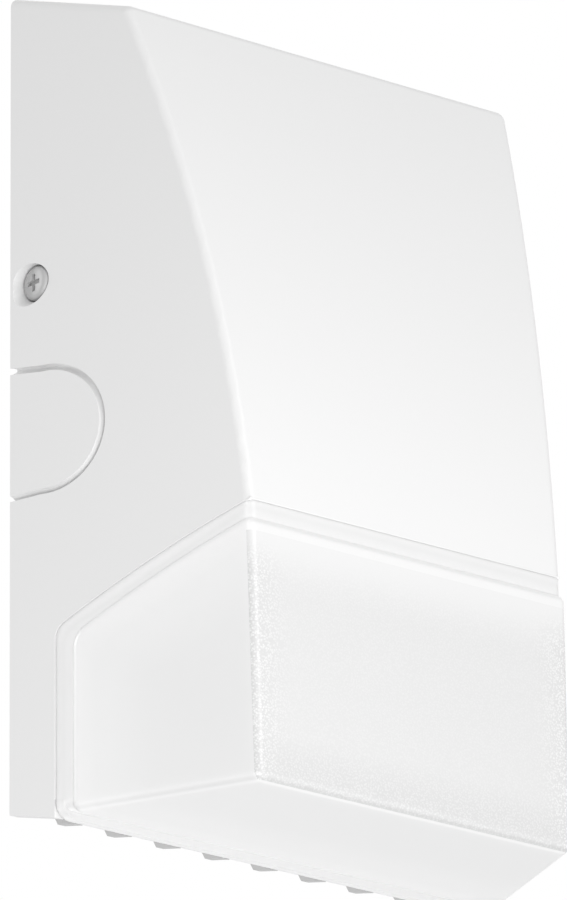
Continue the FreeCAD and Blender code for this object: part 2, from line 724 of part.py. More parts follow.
def raised_lens():
    """The body of the lens, standing proud of its border all round."""
    sharp = envelope(-LENS_RAISE).common(across(lens_region(-LENS_BORDER, RAISED_SHOULDER_ROUND)))
    return sharp.makeFillet(RAISED_ROUND, sharp.Edges)


def drip_lip():
    """Strip across the back of the underside that hides the heat sink's lower edge."""
    strip = block(-FAR, FAR, LENS_BACK_DEPTH, LENS_BACK_DEPTH + LIP_THICKNESS, LIP_Z,
                  LENS_BOTTOM_Z + LENS_WALL).common(taper_prism(0))

    def low_corner(edge):
        middle = edge.CenterOfMass
        return abs(middle.z - LIP_Z) < 0.01 and edge.BoundBox.XLength < LIP_THICKNESS

    return rounded(strip, LIP_CORNER, low_corner)


def lens_boss(start, direction):
    return Part.makeCylinder(LENS_BOSS_RADIUS, LENS_BOSS_LENGTH, start, direction)


def make_lens():
    flush = soft_lens_block(0).common(across(lens_region(0)))
    body = flush.fuse(raised_lens()).fuse(drip_lip())
    hollow = envelope(LENS_WALL).common(across(lens_region(-LENS_WALL)))
    deep_hollow = envelope(LENS_WALL - LENS_RAISE).common(across(lens_region(-LENS_WALL - LENS_BORDER)))
    body = body.cut(hollow).cut(deep_hollow)
    window = envelope(LENS_WALL + LENS_FLANGE).common(across(lens_region(LENS_WALL)))
    body = body.cut(window)
    additions = []
    pilots = []
    for x, z in lens_back_screw_places():
        additions.append(lens_boss(at(x, LENS_BACK_DEPTH, z), V(0, -1, 0)))
        reach = half_width(LENS_BACK_DEPTH) - LENS_WALL
        web = block(min(x, math.copysign(reach, x)), max(x, math.copysign(reach, x)), LENS_BACK_DEPTH,
                    LENS_BACK_DEPTH + LENS_WALL, z - LENS_BOSS_RADIUS, z + LENS_BOSS_RADIUS)
        additions.append(web)
        pilots.append(rod(M3_RADIUS + THREAD_GAP, at(x, LENS_BACK_DEPTH - 1, z),
                          at(x, LENS_BACK_DEPTH + LENS_BOSS_LENGTH - 1, z)))
    region = across(lens_region(0))
    low = LENS_TOP_Z - LENS_BOSS_LENGTH - LENS_BORDER
    for x, depth in lens_top_screw_places():
        boss = rod(LENS_BOSS_RADIUS, at(x, depth, low), at(x, depth, LENS_TOP_Z + 1))
        additions.append(boss.common(region))
        pilots.append(rod(M3_RADIUS + THREAD_GAP, at(x, depth, low + 1), at(x, depth, LENS_TOP_Z + 1)))
    body = body.multiFuse(additions)
    for pilot in pilots:
        body = body.cut(pilot)
    return body.removeSplitter()


def make_lens_gasket():
    """Silicone ring between the lens's flange and the heat sink and partition."""
    band = across(lens_region(GASKET_GAP)).cut(across(lens_region(0)))
    band = band.common(envelope(WALL + SINK_SIDE_GAP))
    band = band.cut(envelope(LENS_WALL + LENS_FLANGE))
    for x, z in lens_back_screw_places():
        reach = half_width(LENS_BACK_DEPTH) - LENS_WALL - LENS_FLANGE / 2
        ear = block(min(x, math.copysign(reach, x)), max(x, math.copysign(reach, x)), SINK_FRONT_DEPTH,
                    LENS_BACK_DEPTH, z - LENS_BOSS_RADIUS, z + LENS_BOSS_RADIUS)
        ear = ear.fuse(rod(LENS_BOSS_RADIUS, at(x, SINK_FRONT_DEPTH, z), at(x, LENS_BACK_DEPTH, z)))
        band = band.fuse(ear)
        band = band.cut(rod(M3_RADIUS + PIECE_GAP, at(x, SINK_FRONT_DEPTH - 1, z), at(x, LENS_BACK_DEPTH + 1, z)))
    for x, depth in lens_top_screw_places():
        band = band.cut(rod(M3_RADIUS + PIECE_GAP, at(x, depth, LENS_BOTTOM_Z), at(x, depth, LENS_TOP_Z + 3)))
    return band.removeSplitter()


def make_lens_screws():
    screws = []
    length = SINK_PLATE + GASKET_GAP + LENS_BOSS_LENGTH - 2
    for x, z in lens_back_screw_places():
        screws.append(pan_screw(at(x, SINK_BACK_DEPTH, z), V(0, -1, 0), length))
    for x, depth in lens_top_screw_places():
        seat = partition_top_z(depth)
        screws.append(pan_screw(at(x, depth, seat), V(0, 0, -1), seat - LENS_TOP_Z + LENS_BOSS_LENGTH))
    return Part.makeCompound(screws)


def partition_top_z(depth):
    """Height of the highest point of the partition under a screw head at a depth."""
    probe = across(lens_region(GASKET_GAP + WALL), 1.0).common(
        block(-1, 1, depth - M3_HEAD_RADIUS, depth + M3_HEAD_RADIUS, -FAR / 2, FAR / 2))
    return probe.BoundBox.ZMax


# ---- driver -------------------------------------------------------------------------------
def make_driver_case():
    half = DRIVER_LENGTH / 2
    top = DRIVER_BASE_Z + DRIVER_HEIGHT
    case = block(-half, half, DRIVER_BACK_DEPTH, DRIVER_FRONT_DEPTH, DRIVER_BASE_Z, top)
    for index in range(DRIVER_GROOVES):
        z = DRIVER_BASE_Z + DRIVER_HEIGHT * (index + 1) / (DRIVER_GROOVES + 1)
        case = case.cut(block(-half - 1, half + 1, DRIVER_BACK_DEPTH - 1, DRIVER_BACK_DEPTH + DRIVER_GROOVE,
                              z - DRIVER_GROOVE, z + DRIVER_GROOVE))
    foot = block(-FOOT_LENGTH / 2, FOOT_LENGTH / 2, DRIVER_FRONT_DEPTH, FOOT_FRONT_DEPTH,
                 DRIVER_BASE_Z + FOOT_MARGIN, top - FOOT_MARGIN)
    case = case.fuse(foot)
    for x, z in driver_boss_places():
        case = case.cut(rod(M3_RADIUS + PIECE_GAP, at(x, DRIVER_FRONT_DEPTH - 1, z), at(x, FOOT_FRONT_DEPTH + 1, z)))
    return case.removeSplitter()


def make_driver_end_caps():
    cap = block(-DRIVER_LENGTH / 2 - DRIVER_CAP, -DRIVER_LENGTH / 2, DRIVER_BACK_DEPTH,
                DRIVER_FRONT_DEPTH - PIECE_GAP, DRIVER_BASE_Z, DRIVER_BASE_Z + DRIVER_HEIGHT)
    edges = [edge for edge in cap.Edges
             if edge.BoundBox.XLength < 0.01 and edge.CenterOfMass.x < -DRIVER_LENGTH / 2 - DRIVER_CAP / 2]
    return Part.makeCompound(both_sides(cap.makeFillet(DRIVER_CAP / 2, edges)))


def make_driver_screws():
    return Part.makeCompound([pan_screw(at(x, DRIVER_FRONT_DEPTH, z), V(0, -1, 0), FOOT_THICKNESS + THREAD_LENGTH - 1)
                              for x, z in driver_boss_places()])


# ---- leads --------------------------------------------------------------------------------
def lead(points, radius):
    """Round wire along straight runs that are joined by tangent arcs."""
    path = []
    here = points[0]
    for index in range(1, len(points) - 1):
        before = points[index - 1] - points[index]
        after = points[index + 1] - points[index]
        trim = BEND_SHARE * min(before.Length, after.Length)
        before.normalize()
        after.normalize()
        arc_start = points[index] + before * trim
        arc_end = points[index] + after * trim
        inward = before + after
        inward.normalize()
        half_turn = before.getAngle(after) / 2
        bend = trim * math.tan(half_turn)
        centre_distance = trim / math.cos(half_turn)
        middle = points[index] + inward * (centre_distance - bend)
        path.append(Part.makeLine(here, arc_start))
        path.append(Part.Arc(arc_start, middle, arc_end).toShape())
        here = arc_end
    path.append(Part.makeLine(here, points[-1]))
    spine = Part.Wire(path)
    ring = Part.Wire(Part.makeCircle(radius, points[0], points[1] - points[0]))
    return spine.makePipeShell([ring], True, False)


def output_lead_xs():
    return CONNECTOR_X + OUTPUT_LEAD_GAP, CONNECTOR_X - OUTPUT_LEAD_GAP


def output_lead(index):
    """One of the two leads from the driver down to the board's connector."""
    depth = DRIVER_BACK_DEPTH + OUTPUT_START_DEPTH + index * OUTPUT_DEPTH_STEP
    cap = -DRIVER_LENGTH / 2 - DRIVER_CAP
    level = DRIVER_MID_Z - OUTPUT_START_DROP
    turn = cap - SIDE_LOOP
    end_x = output_lead_xs()[index]
    low = RAIL_TOP_Z + OUTPUT_LOW[index]
    return lead([
        at(cap, depth, level),
        at(turn, depth, level),
        at(turn, depth - 2, low + OUTPUT_SLANT),
        at(end_x, LEAD_DEPTH, low),
        at(end_x, LEAD_DEPTH, BOARD_TOP_Z - CONNECTOR_TOP_GAP - CONNECTOR_SIZE[2] / 2),
    ], THIN_LEAD_RADIUS)


def supply_lead(index):
    """One of the two mains leads, from the driver over its top to a twist-on connector."""
    depth = CONE_DEPTHS[index]
    cap = DRIVER_LENGTH / 2 + DRIVER_CAP
    level = DRIVER_MID_Z + SUPPLY_START_RISE
    return lead([
        at(cap, depth, level),
        at(cap + SIDE_LOOP, depth, level),
        at(cap + SIDE_LOOP, depth, cone_z()),
        at(CONE_MOUTH_X - CONE_GRIP, depth, cone_z()),
    ], LEAD_RADIUS)


def cone_z():
    return DRIVER_BASE_Z + DRIVER_HEIGHT + PIECE_GAP + CONE_RADIUS


def make_ground_lead():
    """Ring terminal on the housing's ground boss, and its lead to the third connector."""
    ring = rod(RING_RADIUS, at(GROUND_X, GROUND_DEPTH - RING_THICKNESS, GROUND_Z), at(GROUND_X, GROUND_DEPTH, GROUND_Z))
    barrel_top = GROUND_Z - RING_RADIUS + 1
    barrel_depth = GROUND_DEPTH - RING_THICKNESS / 2
    tab = block(GROUND_X - LEAD_RADIUS, GROUND_X + LEAD_RADIUS, GROUND_DEPTH - RING_THICKNESS, GROUND_DEPTH,
                barrel_top - RING_RADIUS, barrel_top)
    ring = ring.fuse(tab).cut(rod(M3_RADIUS + PIECE_GAP, at(GROUND_X, 0, GROUND_Z), at(GROUND_X, FAR, GROUND_Z)))
    wire = lead([
        at(GROUND_X, barrel_depth, barrel_top - RING_RADIUS),
        at(GROUND_X, GROUND_CONE_DEPTH, cone_z()),
        at(GROUND_CONE_X + CONE_GRIP, GROUND_CONE_DEPTH, cone_z()),
    ], LEAD_RADIUS)
    return ring.fuse(wire).removeSplitter()


def twist_connector(mouth, direction):
    """Hollow cone with two finger wings."""
    base = mouth + direction * CONE_SKIRT
    skirt = Part.makeCylinder(CONE_RADIUS, CONE_SKIRT, mouth, direction)
    cone = Part.makeCone(CONE_RADIUS, CONE_TIP_RADIUS, CONE_LENGTH - CONE_SKIRT, base, direction)
    bore = Part.makeCylinder(CONE_BORE, CONE_GRIP + 1, mouth, direction)
    return skirt.fuse(cone).cut(bore).removeSplitter()


def make_wire_connectors():
    cones = [twist_connector(at(CONE_MOUTH_X, depth, cone_z()), V(-1, 0, 0)) for depth in CONE_DEPTHS]
    cones.append(twist_connector(at(GROUND_CONE_X, GROUND_CONE_DEPTH, cone_z()), V(1, 0, 0)))
    return Part.makeCompound(cones)


def ring_profile(radii_and_levels, origin, axis):
    """Solid of revolution about an axis parallel to Y or Z, from (radius, distance) points."""
    side = V(1, 0, 0)
    points = [origin + side * radius + axis * distance for radius, distance in radii_and_levels]
    points.append(points[0])
    return Part.Face(Part.makePolygon(points)).revolve(origin, axis, 360)


def make_lead_grommet():
    outer = LEAD_GROMMET_HOLE - THREAD_GAP
    return ring_profile([
        (LEAD_GROMMET_BORE, 1.2),
        (LEAD_GROMMET_FLANGE, 1.2),
        (LEAD_GROMMET_FLANGE, 0),
        (outer, 0),
        (outer, -LEAD_GROMMET_SLEEVE),
        (LEAD_GROMMET_BORE, -LEAD_GROMMET_SLEEVE),
    ], at(CONNECTOR_X, LEAD_DEPTH, RAIL_TOP_Z), V(0, 0, 1))


# ---- wall plate ---------------------------------------------------------------------------
def plate_top_z():
    return top_z(FLANGE_DEPTH) - WALL / math.cos(TOP_SLOPE) - PLATE_TOP_GAP


def hole_places():
    """Centres and radii of the screw holes through the plate and its gasket."""
    holes = [(sx * BOX_SPACING / 2, WIRE_HOLE_Z, BOX_HOLE_RADIUS) for sx in (-1, 1)]
    for sx in (-1, 1):
        for sz in (-1, 1):
            holes.append((sx * WALL_SPACING_X / 2, WALL_HOLES_Z + sz * WALL_SPACING_Z / 2, WALL_HOLE_RADIUS))
    return holes


def plate_ear():
    """Upright ear and the wing that joins it to the plate, slotted open to the front."""
    ear = block(SCREW_MOUTH_X + EAR_OUTER, SCREW_MOUTH_X + EAR_INNER, PLATE_BACK_DEPTH, EAR_DEPTH,
                SCREW_Z - EAR_HALF_HEIGHT, SCREW_Z + EAR_HALF_HEIGHT)
    wing = block(SCREW_MOUTH_X + EAR_OUTER, -PLATE_WIDTH / 2 + 1, PLATE_BACK_DEPTH, PLATE_FRONT_DEPTH,
                 SCREW_Z - EAR_HALF_HEIGHT, SCREW_Z + EAR_HALF_HEIGHT)
    slot_radius = SCREW_RADIUS + PIECE_GAP
    slot = rod(slot_radius, along_screw(EAR_OUTER - 1), along_screw(EAR_INNER + 1))
    mouth = screw_block(EAR_OUTER - 1, EAR_INNER + 1, slot_radius, FAR)
    mouth = mouth.common(block(-FAR, FAR, SCREW_DEPTH, FAR, -FAR, FAR))
    return ear.fuse(wing).cut(slot).cut(mouth)


def nut_window():
    return screw_block(EAR_INNER, NUT_OUTER + NUT_THICKNESS + PIECE_GAP,
                       NUT_WIDTH / 2 + PIECE_GAP, NUT_WIDTH / 2 + PIECE_GAP)


def make_back_plate():
    plate = rounded_plate(PLATE_WIDTH, PLATE_BOTTOM_Z, plate_top_z(), PLATE_BACK_DEPTH, PLATE_FRONT_DEPTH,
                          PLATE_CORNER)
    flange_half = PLATE_WIDTH / 2 - PLATE_CORNER
    flange = block(-flange_half, flange_half, PLATE_BACK_DEPTH, FLANGE_DEPTH,
                   plate_top_z() - PLATE_THICKNESS, plate_top_z())
    body = plate.multiFuse([flange] + both_sides(plate_ear()))
    for window in both_sides(nut_window()):
        body = body.cut(window)
    body = body.cut(rod(WIRE_HOLE_RADIUS, at(0, -1, WIRE_HOLE_Z), at(0, PLATE_FRONT_DEPTH + 1, WIRE_HOLE_Z)))
    body = body.cut(rod(M3_RADIUS + THREAD_GAP, at(BOND_X, -1, BOND_Z), at(BOND_X, PLATE_FRONT_DEPTH + 1, BOND_Z)))
    for x, z, radius in hole_places():
        body = body.cut(rod(radius, at(x, -1, z), at(x, PLATE_FRONT_DEPTH + 1, z)))
    return body.removeSplitter()


def make_wall_gasket():
    sheet = rounded_plate(PLATE_WIDTH - 2 * GASKET_INSET, PLATE_BOTTOM_Z + GASKET_INSET,
                          plate_top_z() - GASKET_INSET, 0, GASKET_THICKNESS, PLATE_CORNER)
    sheet = sheet.cut(rod(GROMMET_FLANGE + PIECE_GAP, at(0, -1, WIRE_HOLE_Z), at(0, GASKET_THICKNESS + 1, WIRE_HOLE_Z)))
    holes = hole_places() + [(BOND_X, BOND_Z, M3_RADIUS)]
    for x, z, radius in holes:
        sheet = sheet.cut(rod(radius + GASKET_HOLE_GAP, at(x, -1, z), at(x, GASKET_THICKNESS + 1, z)))
    return sheet


def make_wire_grommet():
    neck = WIRE_HOLE_RADIUS - THREAD_GAP
    return ring_profile([
        (GROMMET_BORE, -PLATE_BACK_DEPTH + GROMMET_REAR_GAP),
        (GROMMET_FLANGE, -PLATE_BACK_DEPTH + GROMMET_REAR_GAP),
        (GROMMET_FLANGE, 0),
        (neck, 0),
        (neck, PLATE_THICKNESS),
        (GROMMET_FLANGE, PLATE_THICKNESS),
        (GROMMET_FLANGE - 1, PLATE_THICKNESS + 1.2),
        (GROMMET_BORE, PLATE_THICKNESS + 1.2),
    ], at(0, PLATE_BACK_DEPTH, WIRE_HOLE_Z), V(0, -1, 0))


def make_bond_screw():
    return pan_screw(at(BOND_X, PLATE_FRONT_DEPTH, BOND_Z), V(0, 1, 0), PLATE_FRONT_DEPTH - PIECE_GAP)


# ---- side screws --------------------------------------------------------------------------
def make_side_screw():
    """Left side screw: pan head with a cross recess, square to the wall plate's ear."""
    seat = along_screw(POCKET_DEPTH - WASHER_THICKNESS)
    screw = pan_screw(seat, V(1, 0, 0), SCREW_LENGTH, SCREW_RADIUS, SCREW_HEAD_RADIUS, SCREW_HEAD_HEIGHT)
    face = POCKET_DEPTH - WASHER_THICKNESS - SCREW_HEAD_HEIGHT
    for half_up, half_deep in ((RECESS_LENGTH / 2, RECESS_WIDTH / 2), (RECESS_WIDTH / 2, RECESS_LENGTH / 2)):
        screw = screw.cut(screw_block(face - 1, face + RECESS_DEPTH, half_up, half_deep))
    return screw


def make_side_washers():
    outer = rod(POCKET_RADIUS - PIECE_GAP, along_screw(POCKET_DEPTH - WASHER_THICKNESS), along_screw(POCKET_DEPTH))
    washer = outer.cut(rod(SCREW_RADIUS + THREAD_GAP, along_screw(0), along_screw(EAR_OUTER)))
    return Part.makeCompound(both_sides(washer))


def make_side_nuts():
    nut = screw_block(NUT_OUTER, NUT_OUTER + NUT_THICKNESS, NUT_WIDTH / 2, NUT_WIDTH / 2)
    nut = nut.cut(rod(SCREW_RADIUS + THREAD_GAP, along_screw(0), along_screw(FAR)))
    return Part.makeCompound(both_sides(nut))


def all_parts():
    """Every piece by name."""
    side_screw = make_side_screw()
    return {
        "wall_gasket": make_wall_gasket(),
        "back_plate": make_back_plate(),
        "wire_grommet": make_wire_grommet(),
        "ground_screw": make_bond_screw(),
        "housing": make_housing(),
        "heat_sink": make_heat_sink(),
        "heat_sink_screws": make_heat_sink_screws(),
        "thermal_pad": drilled_sheet(SINK_FRONT_DEPTH, BOARD_BACK_DEPTH),
        "led_board": drilled_sheet(BOARD_BACK_DEPTH, BOARD_FRONT_DEPTH),
        "leds": make_leds(),
        "led_connector": make_led_connector(),
        "board_screws": make_board_screws(),
        "reflector": make_reflector(),
        "lens": make_lens(),
        "lens_gasket": make_lens_gasket(),
        "lens_screws": make_lens_screws(),
        "driver_case": make_driver_case(),
        "driver_end_caps": make_driver_end_caps(),
        "driver_screws": make_driver_screws(),
        "supply_lead_line": supply_lead(0),
        "supply_lead_neutral": supply_lead(1),
        "ground_lead": make_ground_lead(),
        "ground_lead_screw": pan_screw(at(GROUND_X, GROUND_DEPTH - RING_THICKNESS, GROUND_Z), V(0, -1, 0),
                                       THREAD_LENGTH),
        "wire_connectors": make_wire_connectors(),
        "output_lead_positive": output_lead(0),
        "output_lead_negative": output_lead(1),
        "lead_grommet": make_lead_grommet(),
        "side_washers": make_side_washers(),
        "side_nuts": make_side_nuts(),
        "side_screw_left": side_screw,
        "side_screw_right": mirrored(side_screw),
    }


def main():
    os.makedirs("parts", exist_ok=True)
    for name, shape in all_parts().items():
        shape.exportStep("parts/" + name + ".step")
        state = "valid" if shape.isValid() else "INVALID"
        print(name, len(shape.Solids), state, round(shape.Volume))


main()
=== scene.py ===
"""Wall pack light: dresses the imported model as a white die-cast light with a frosted lens.

Metres. The origin is the centre of the wall face, +Z is up and the front faces -Y.
"""
import json
import math

import bpy
from bpy.props import FloatProperty, FloatVectorProperty, PointerProperty, StringProperty
from mathutils import Matrix, Vector


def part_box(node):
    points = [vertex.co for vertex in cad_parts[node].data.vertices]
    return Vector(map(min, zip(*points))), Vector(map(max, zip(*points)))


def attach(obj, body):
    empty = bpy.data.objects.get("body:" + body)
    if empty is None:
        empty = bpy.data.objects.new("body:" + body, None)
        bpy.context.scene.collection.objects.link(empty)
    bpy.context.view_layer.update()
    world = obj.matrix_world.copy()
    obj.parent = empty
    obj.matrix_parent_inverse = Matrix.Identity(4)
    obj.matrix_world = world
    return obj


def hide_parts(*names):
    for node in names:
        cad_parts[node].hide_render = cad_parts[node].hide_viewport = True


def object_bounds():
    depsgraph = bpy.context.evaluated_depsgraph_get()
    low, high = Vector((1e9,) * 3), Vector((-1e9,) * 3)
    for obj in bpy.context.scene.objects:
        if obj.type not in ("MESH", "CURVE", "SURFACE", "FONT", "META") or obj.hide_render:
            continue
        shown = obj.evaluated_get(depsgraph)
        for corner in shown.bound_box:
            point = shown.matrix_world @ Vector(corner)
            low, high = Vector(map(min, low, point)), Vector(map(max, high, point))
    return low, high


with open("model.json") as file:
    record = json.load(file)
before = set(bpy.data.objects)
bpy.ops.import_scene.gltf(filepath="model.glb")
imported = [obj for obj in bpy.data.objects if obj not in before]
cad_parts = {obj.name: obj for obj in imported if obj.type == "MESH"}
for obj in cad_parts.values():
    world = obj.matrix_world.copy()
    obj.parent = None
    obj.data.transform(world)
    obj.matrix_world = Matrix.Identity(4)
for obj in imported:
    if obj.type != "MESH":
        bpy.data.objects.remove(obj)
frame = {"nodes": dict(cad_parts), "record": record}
cad_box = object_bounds()

bl_info = {
    "name": "Wall pack light",
    "version": (1, 0, 0),
    "blender": (4, 5, 0),
    "location": "3D View > Sidebar > Wall Pack",
    "description": "Builds the finished look of a small wall pack light over its packed solids",
    "category": "Object",
}

MM = 0.001

# Meshes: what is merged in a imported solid, which edges are rounded, and how far shading runs smooth
MERGE_DISTANCE = 1e-6
FLAT_ANGLE = math.radians(0.4)
BEVEL_ANGLE = math.radians(28)
SMOOTH_ANGLE = math.radians(32)

# Soft edge of small hardware
FINE_EDGE = 0.08 * MM

# The housing: half its width at the wall, how its sides lean in, and the seam's slope on the front
WALL_HALF = cad_box[1][0]
SIDE_DRAFT = math.radians(20.8)
SEAM_SLOPE = math.radians(21)

# The knock-outs: the middle of their round end, and the space that holds their score lines
KNOCKOUT_LEVEL = -9 * MM
KNOCKOUT_REACH = 10.5 * MM
SCORE_FOOT = -28 * MM
SCORE_HEAD = 11 * MM
SCORE_REACH = 28 * MM
SCORE_SHALLOWEST = 0.12 * MM
SCORE_DEEPEST = 0.95 * MM

# The stippled panel: which faces look forward, where its stipple fades, its plain lower border, and
# how far back its faces reach
LOOKS_FORWARD = -0.5
PANEL_SIDE_FADE = 14 * MM
PANEL_END_FADE = 12 * MM
PANEL_BORDER = 0.4 * MM
PANEL_DEPTH = 6 * MM

# The silicone ring: where its outer edge starts, inside the side plane and behind its front
RING_EDGE = 3.6 * MM
RING_FRONT = 0.6 * MM

# The floor of the studio
FLOOR_SIZE = 24
FLOOR_LEVEL = -6


# ---- settings -----------------------------------------------------------------------------
class HousingSettings(bpy.types.PropertyGroup):
    colour: StringProperty(name="Powder colour", description="Colour of the powder coat, as sRGB hex",
                           default="EEEEEE")
    edge: FloatProperty(name="Edge softness", description="Radius that the coat leaves on a sharp edge",
                        default=0.25 * MM, unit="LENGTH", precision=5)
    # The fins' greyer powder is partly their own colour and partly painted shade, for the shade that falls
    # between them
    fin_colour: StringProperty(name="Fin colour", description="Powder over the heat sink, slightly greyer",
                               default="C4C4C4")
    score: FloatProperty(name="Score depth", description="How many times deeper the score lines are drawn",
                         default=2.6)
    undercut: FloatProperty(name="Score undercut", description="Outward lean of the score lines, per depth",
                            default=0.95)
    peel: FloatProperty(name="Orange peel", description="Width of one ripple of the powder coat",
                        default=1.1 * MM, unit="LENGTH", precision=5)


class LensSettings(bpy.types.PropertyGroup):
    colour: StringProperty(name="Lens colour", description="Colour of the frosted plastic, as sRGB hex",
                           default="EFEFEF")
    edge: FloatProperty(name="Edge softness", description="Radius of the lens's moulded edges",
                        default=0.25 * MM, unit="LENGTH", precision=5)
    grain: FloatProperty(name="Stipple grain", description="Width of one grain of the stippled panel",
                         default=0.6 * MM, unit="LENGTH", precision=5)
    panel_half: FloatProperty(name="Panel half width", description="Half the stippled panel's width",
                              default=53.0 * MM, unit="LENGTH", precision=4)
    gasket_spread: FloatProperty(name="Gasket spread", description="How far the silicone goes into the seam",
                                 default=3.1 * MM, unit="LENGTH", precision=5)
    gasket_forward: FloatProperty(name="Gasket forward", description="Share of the spread on the front",
                                  default=0.96)
    rim_depth: FloatProperty(name="Rim depth", description="Distance of the lens's back edge from the wall",
                             default=12.6 * MM, unit="LENGTH", precision=4)
    rim_turn: FloatProperty(name="Rim turn", description="Height at which the back edge turns into the slant",
                            default=-62.3 * MM, unit="LENGTH", precision=4)
    rim_slope: FloatProperty(name="Rim slope", description="Slope of the lens's upper edge on the side",
                             default=math.radians(25.8), subtype="ANGLE")
    rim_round: FloatProperty(name="Rim round", description="How softly both edges of the rim meet",
                             default=5 * MM, unit="LENGTH", precision=4)
    # How far the painted light along the lens's rim reaches inward
    painted_rim_light_reach: FloatProperty(name="Rim glow", description="Distance over which the rim's glow dies away",
                            default=48 * MM, unit="LENGTH", precision=4)
    panel_foot: FloatProperty(name="Panel foot", description="Height of the stippled panel's lower edge",
                              default=-108.0 * MM, unit="LENGTH", precision=4)
    panel_top: FloatProperty(name="Panel top", description="Height of the stippled panel's upper edge",
                             default=-45.6 * MM, unit="LENGTH", precision=4)


class ScrewSettings(bpy.types.PropertyGroup):
    head: FloatProperty(name="Head radius", description="Radius of the side screw's pan head",
                        default=4.6 * MM, unit="LENGTH", precision=5)
    height: FloatProperty(name="Head height", description="Height of the side screw's pan head",
                          default=2.4 * MM, unit="LENGTH", precision=5)
    shank: FloatProperty(name="Shank radius", description="Radius over the thread",
                         default=2.5 * MM, unit="LENGTH", precision=5)
    length: FloatProperty(name="Shank length", description="Length under the head",
                          default=12.0 * MM, unit="LENGTH", precision=5)
    pitch: FloatProperty(name="Thread pitch", description="Distance between two thread crests",
                         default=0.8 * MM, unit="LENGTH", precision=5)
    arm: FloatProperty(name="Cross arm", description="Length of the cross recess at the head's face",
                       default=6.2 * MM, unit="LENGTH", precision=5)
    slit: FloatProperty(name="Cross width", description="Width of one arm of the cross at the head's face",
                        default=1.5 * MM, unit="LENGTH", precision=5)
    crown: FloatProperty(name="Crown", description="Share of the head's height that is rounded", default=0.62)
    sink: FloatProperty(name="Cross depth", description="Share of the head's height that the cross goes down",
                        default=0.42)
    root: FloatProperty(name="Thread root", description="Thread root over crest", default=0.84)


class WiringSettings(bpy.types.PropertyGroup):
    cone_colour: StringProperty(name="Connector colour", description="Colour of the connectors, as sRGB hex",
                                default="E0701E")


class StageSettings(bpy.types.PropertyGroup):
    # The camera's place and turn come from a perspective fit of the photograph's edges
    focal: FloatProperty(name="Focal length", description="Camera focal length on a 36 mm sensor",
                         default=452.8, unit="CAMERA")
    azimuth: FloatProperty(name="Azimuth", description="How far the camera stands round to the left",
                           default=math.radians(40.233), subtype="ANGLE")
    rise: FloatProperty(name="Rise", description="How far the camera looks up",
                        default=math.radians(18.511), subtype="ANGLE")
    roll: FloatProperty(name="Roll", description="How far the camera leans to its side",
                        default=math.radians(-0.369), subtype="ANGLE")
    distance: FloatProperty(name="Distance", description="From the camera to the point it looks at",
                            default=2.9, unit="LENGTH")
    target: FloatVectorProperty(name="Target", description="Point that the camera looks at", size=3,
                                subtype="XYZ", default=(6.76 * MM, -10.91 * MM, 0.08 * MM), precision=5)
    shift: FloatVectorProperty(name="Shift", description="Lens shift to the side and up", size=2,
                               default=(-0.0058, 0.0070), precision=4)
    world: FloatProperty(name="World light", description="Strength of the even light all round", default=0.60)
    key: FloatProperty(name="Key light", description="Power of the large light in front and above",
                       default=9.2, unit="POWER")
    edge: FloatProperty(name="Edge light", description="Power of the light from behind on the left",
                        default=4.2, unit="POWER")
    fill: FloatProperty(name="Fill light", description="Power of the light from the lower left",
                        default=2.6, unit="POWER")
    low: FloatProperty(name="Low light", description="Power of the light from below",
                       default=2.3, unit="POWER")
    backdrop: FloatVectorProperty(name="Backdrop", description="Colour seen behind the object", size=3,
                                  subtype="COLOR", default=(1.0, 1.0, 1.0))


# ---- small tools --------------------------------------------------------------------------
def linear(hex_colour):
    """sRGB hex to linear RGBA."""
    channels = [int(hex_colour[i:i + 2], 16) / 255 for i in (0, 2, 4)]
    return tuple(c / 12.92 if c <= 0.04045 else ((c + 0.055) / 1.055) ** 2.4 for c in channels) + (1.0,)


def add_node(tree, kind, values=None, links=None, **settings):
    """Adds one shader node with its settings, socket values and incoming links."""
    node = tree.nodes.new(kind)
    for key, value in settings.items():
        setattr(node, key, value)
    for key, value in (values or {}).items():
        node.inputs[key].default_value = value
    for key, socket in (links or {}).items():
        tree.links.new(socket, node.inputs[key])
    return node


def new_material(name, hex_colour, **values):
    """Material with one Principled shader; socket names are given with underscores."""
    material = bpy.data.materials.new(name)
    material.use_nodes = True
    tree = material.node_tree
    shader = tree.nodes["Principled BSDF"]
    shader.inputs["Base Color"].default_value = linear(hex_colour)
    for key, value in values.items():
        shader.inputs[key.replace("_", " ")].default_value = value
    return material, tree, shader


def roughen(tree, shader, width, height):
    """Noise relief of a real width and height, on object coordinates."""
    place = add_node(tree, "ShaderNodeTexCoord")
    noise = add_node(tree, "ShaderNodeTexNoise", {"Scale": 1.0 / width, "Detail": 2.0},
                     {"Vector": place.outputs["Object"]})
    relief = add_node(tree, "ShaderNodeBump", {"Strength": 1.0, "Distance": height},
                      {"Height": noise.outputs["Fac"]})
    tree.links.new(relief.outputs["Normal"], shader.inputs["Normal"])
    return relief


def reckon(tree, operation, values=None, links=None):
    """Output of one maths node."""
    return add_node(tree, "ShaderNodeMath", values, links, operation=operation).outputs[0]


def fade(tree, socket, start, end, first, last, curve="SMOOTHSTEP"):
    """Change from one value to another over a stretch of a coordinate."""
    limits = {"From Min": start, "From Max": end, "To Min": first, "To Max": last}
    ramp = add_node(tree, "ShaderNodeMapRange", limits, {"Value": socket}, interpolation_type=curve)
    return ramp.outputs[0]


def toned(tree, factor, stops, interpolation="LINEAR"):
    """Colour that runs through stops of level and sRGB hex as the factor rises."""
    node = add_node(tree, "ShaderNodeValToRGB", links={"Fac": factor})
    ramp = node.color_ramp
    ramp.interpolation = interpolation
    first, *between, last = stops
    for element, (level, colour) in zip(list(ramp.elements), (first, last)):
        element.position = level
        element.color = linear(colour)
    for level, colour in between:
        ramp.elements.new(level).color = linear(colour)
    return node.outputs["Color"]


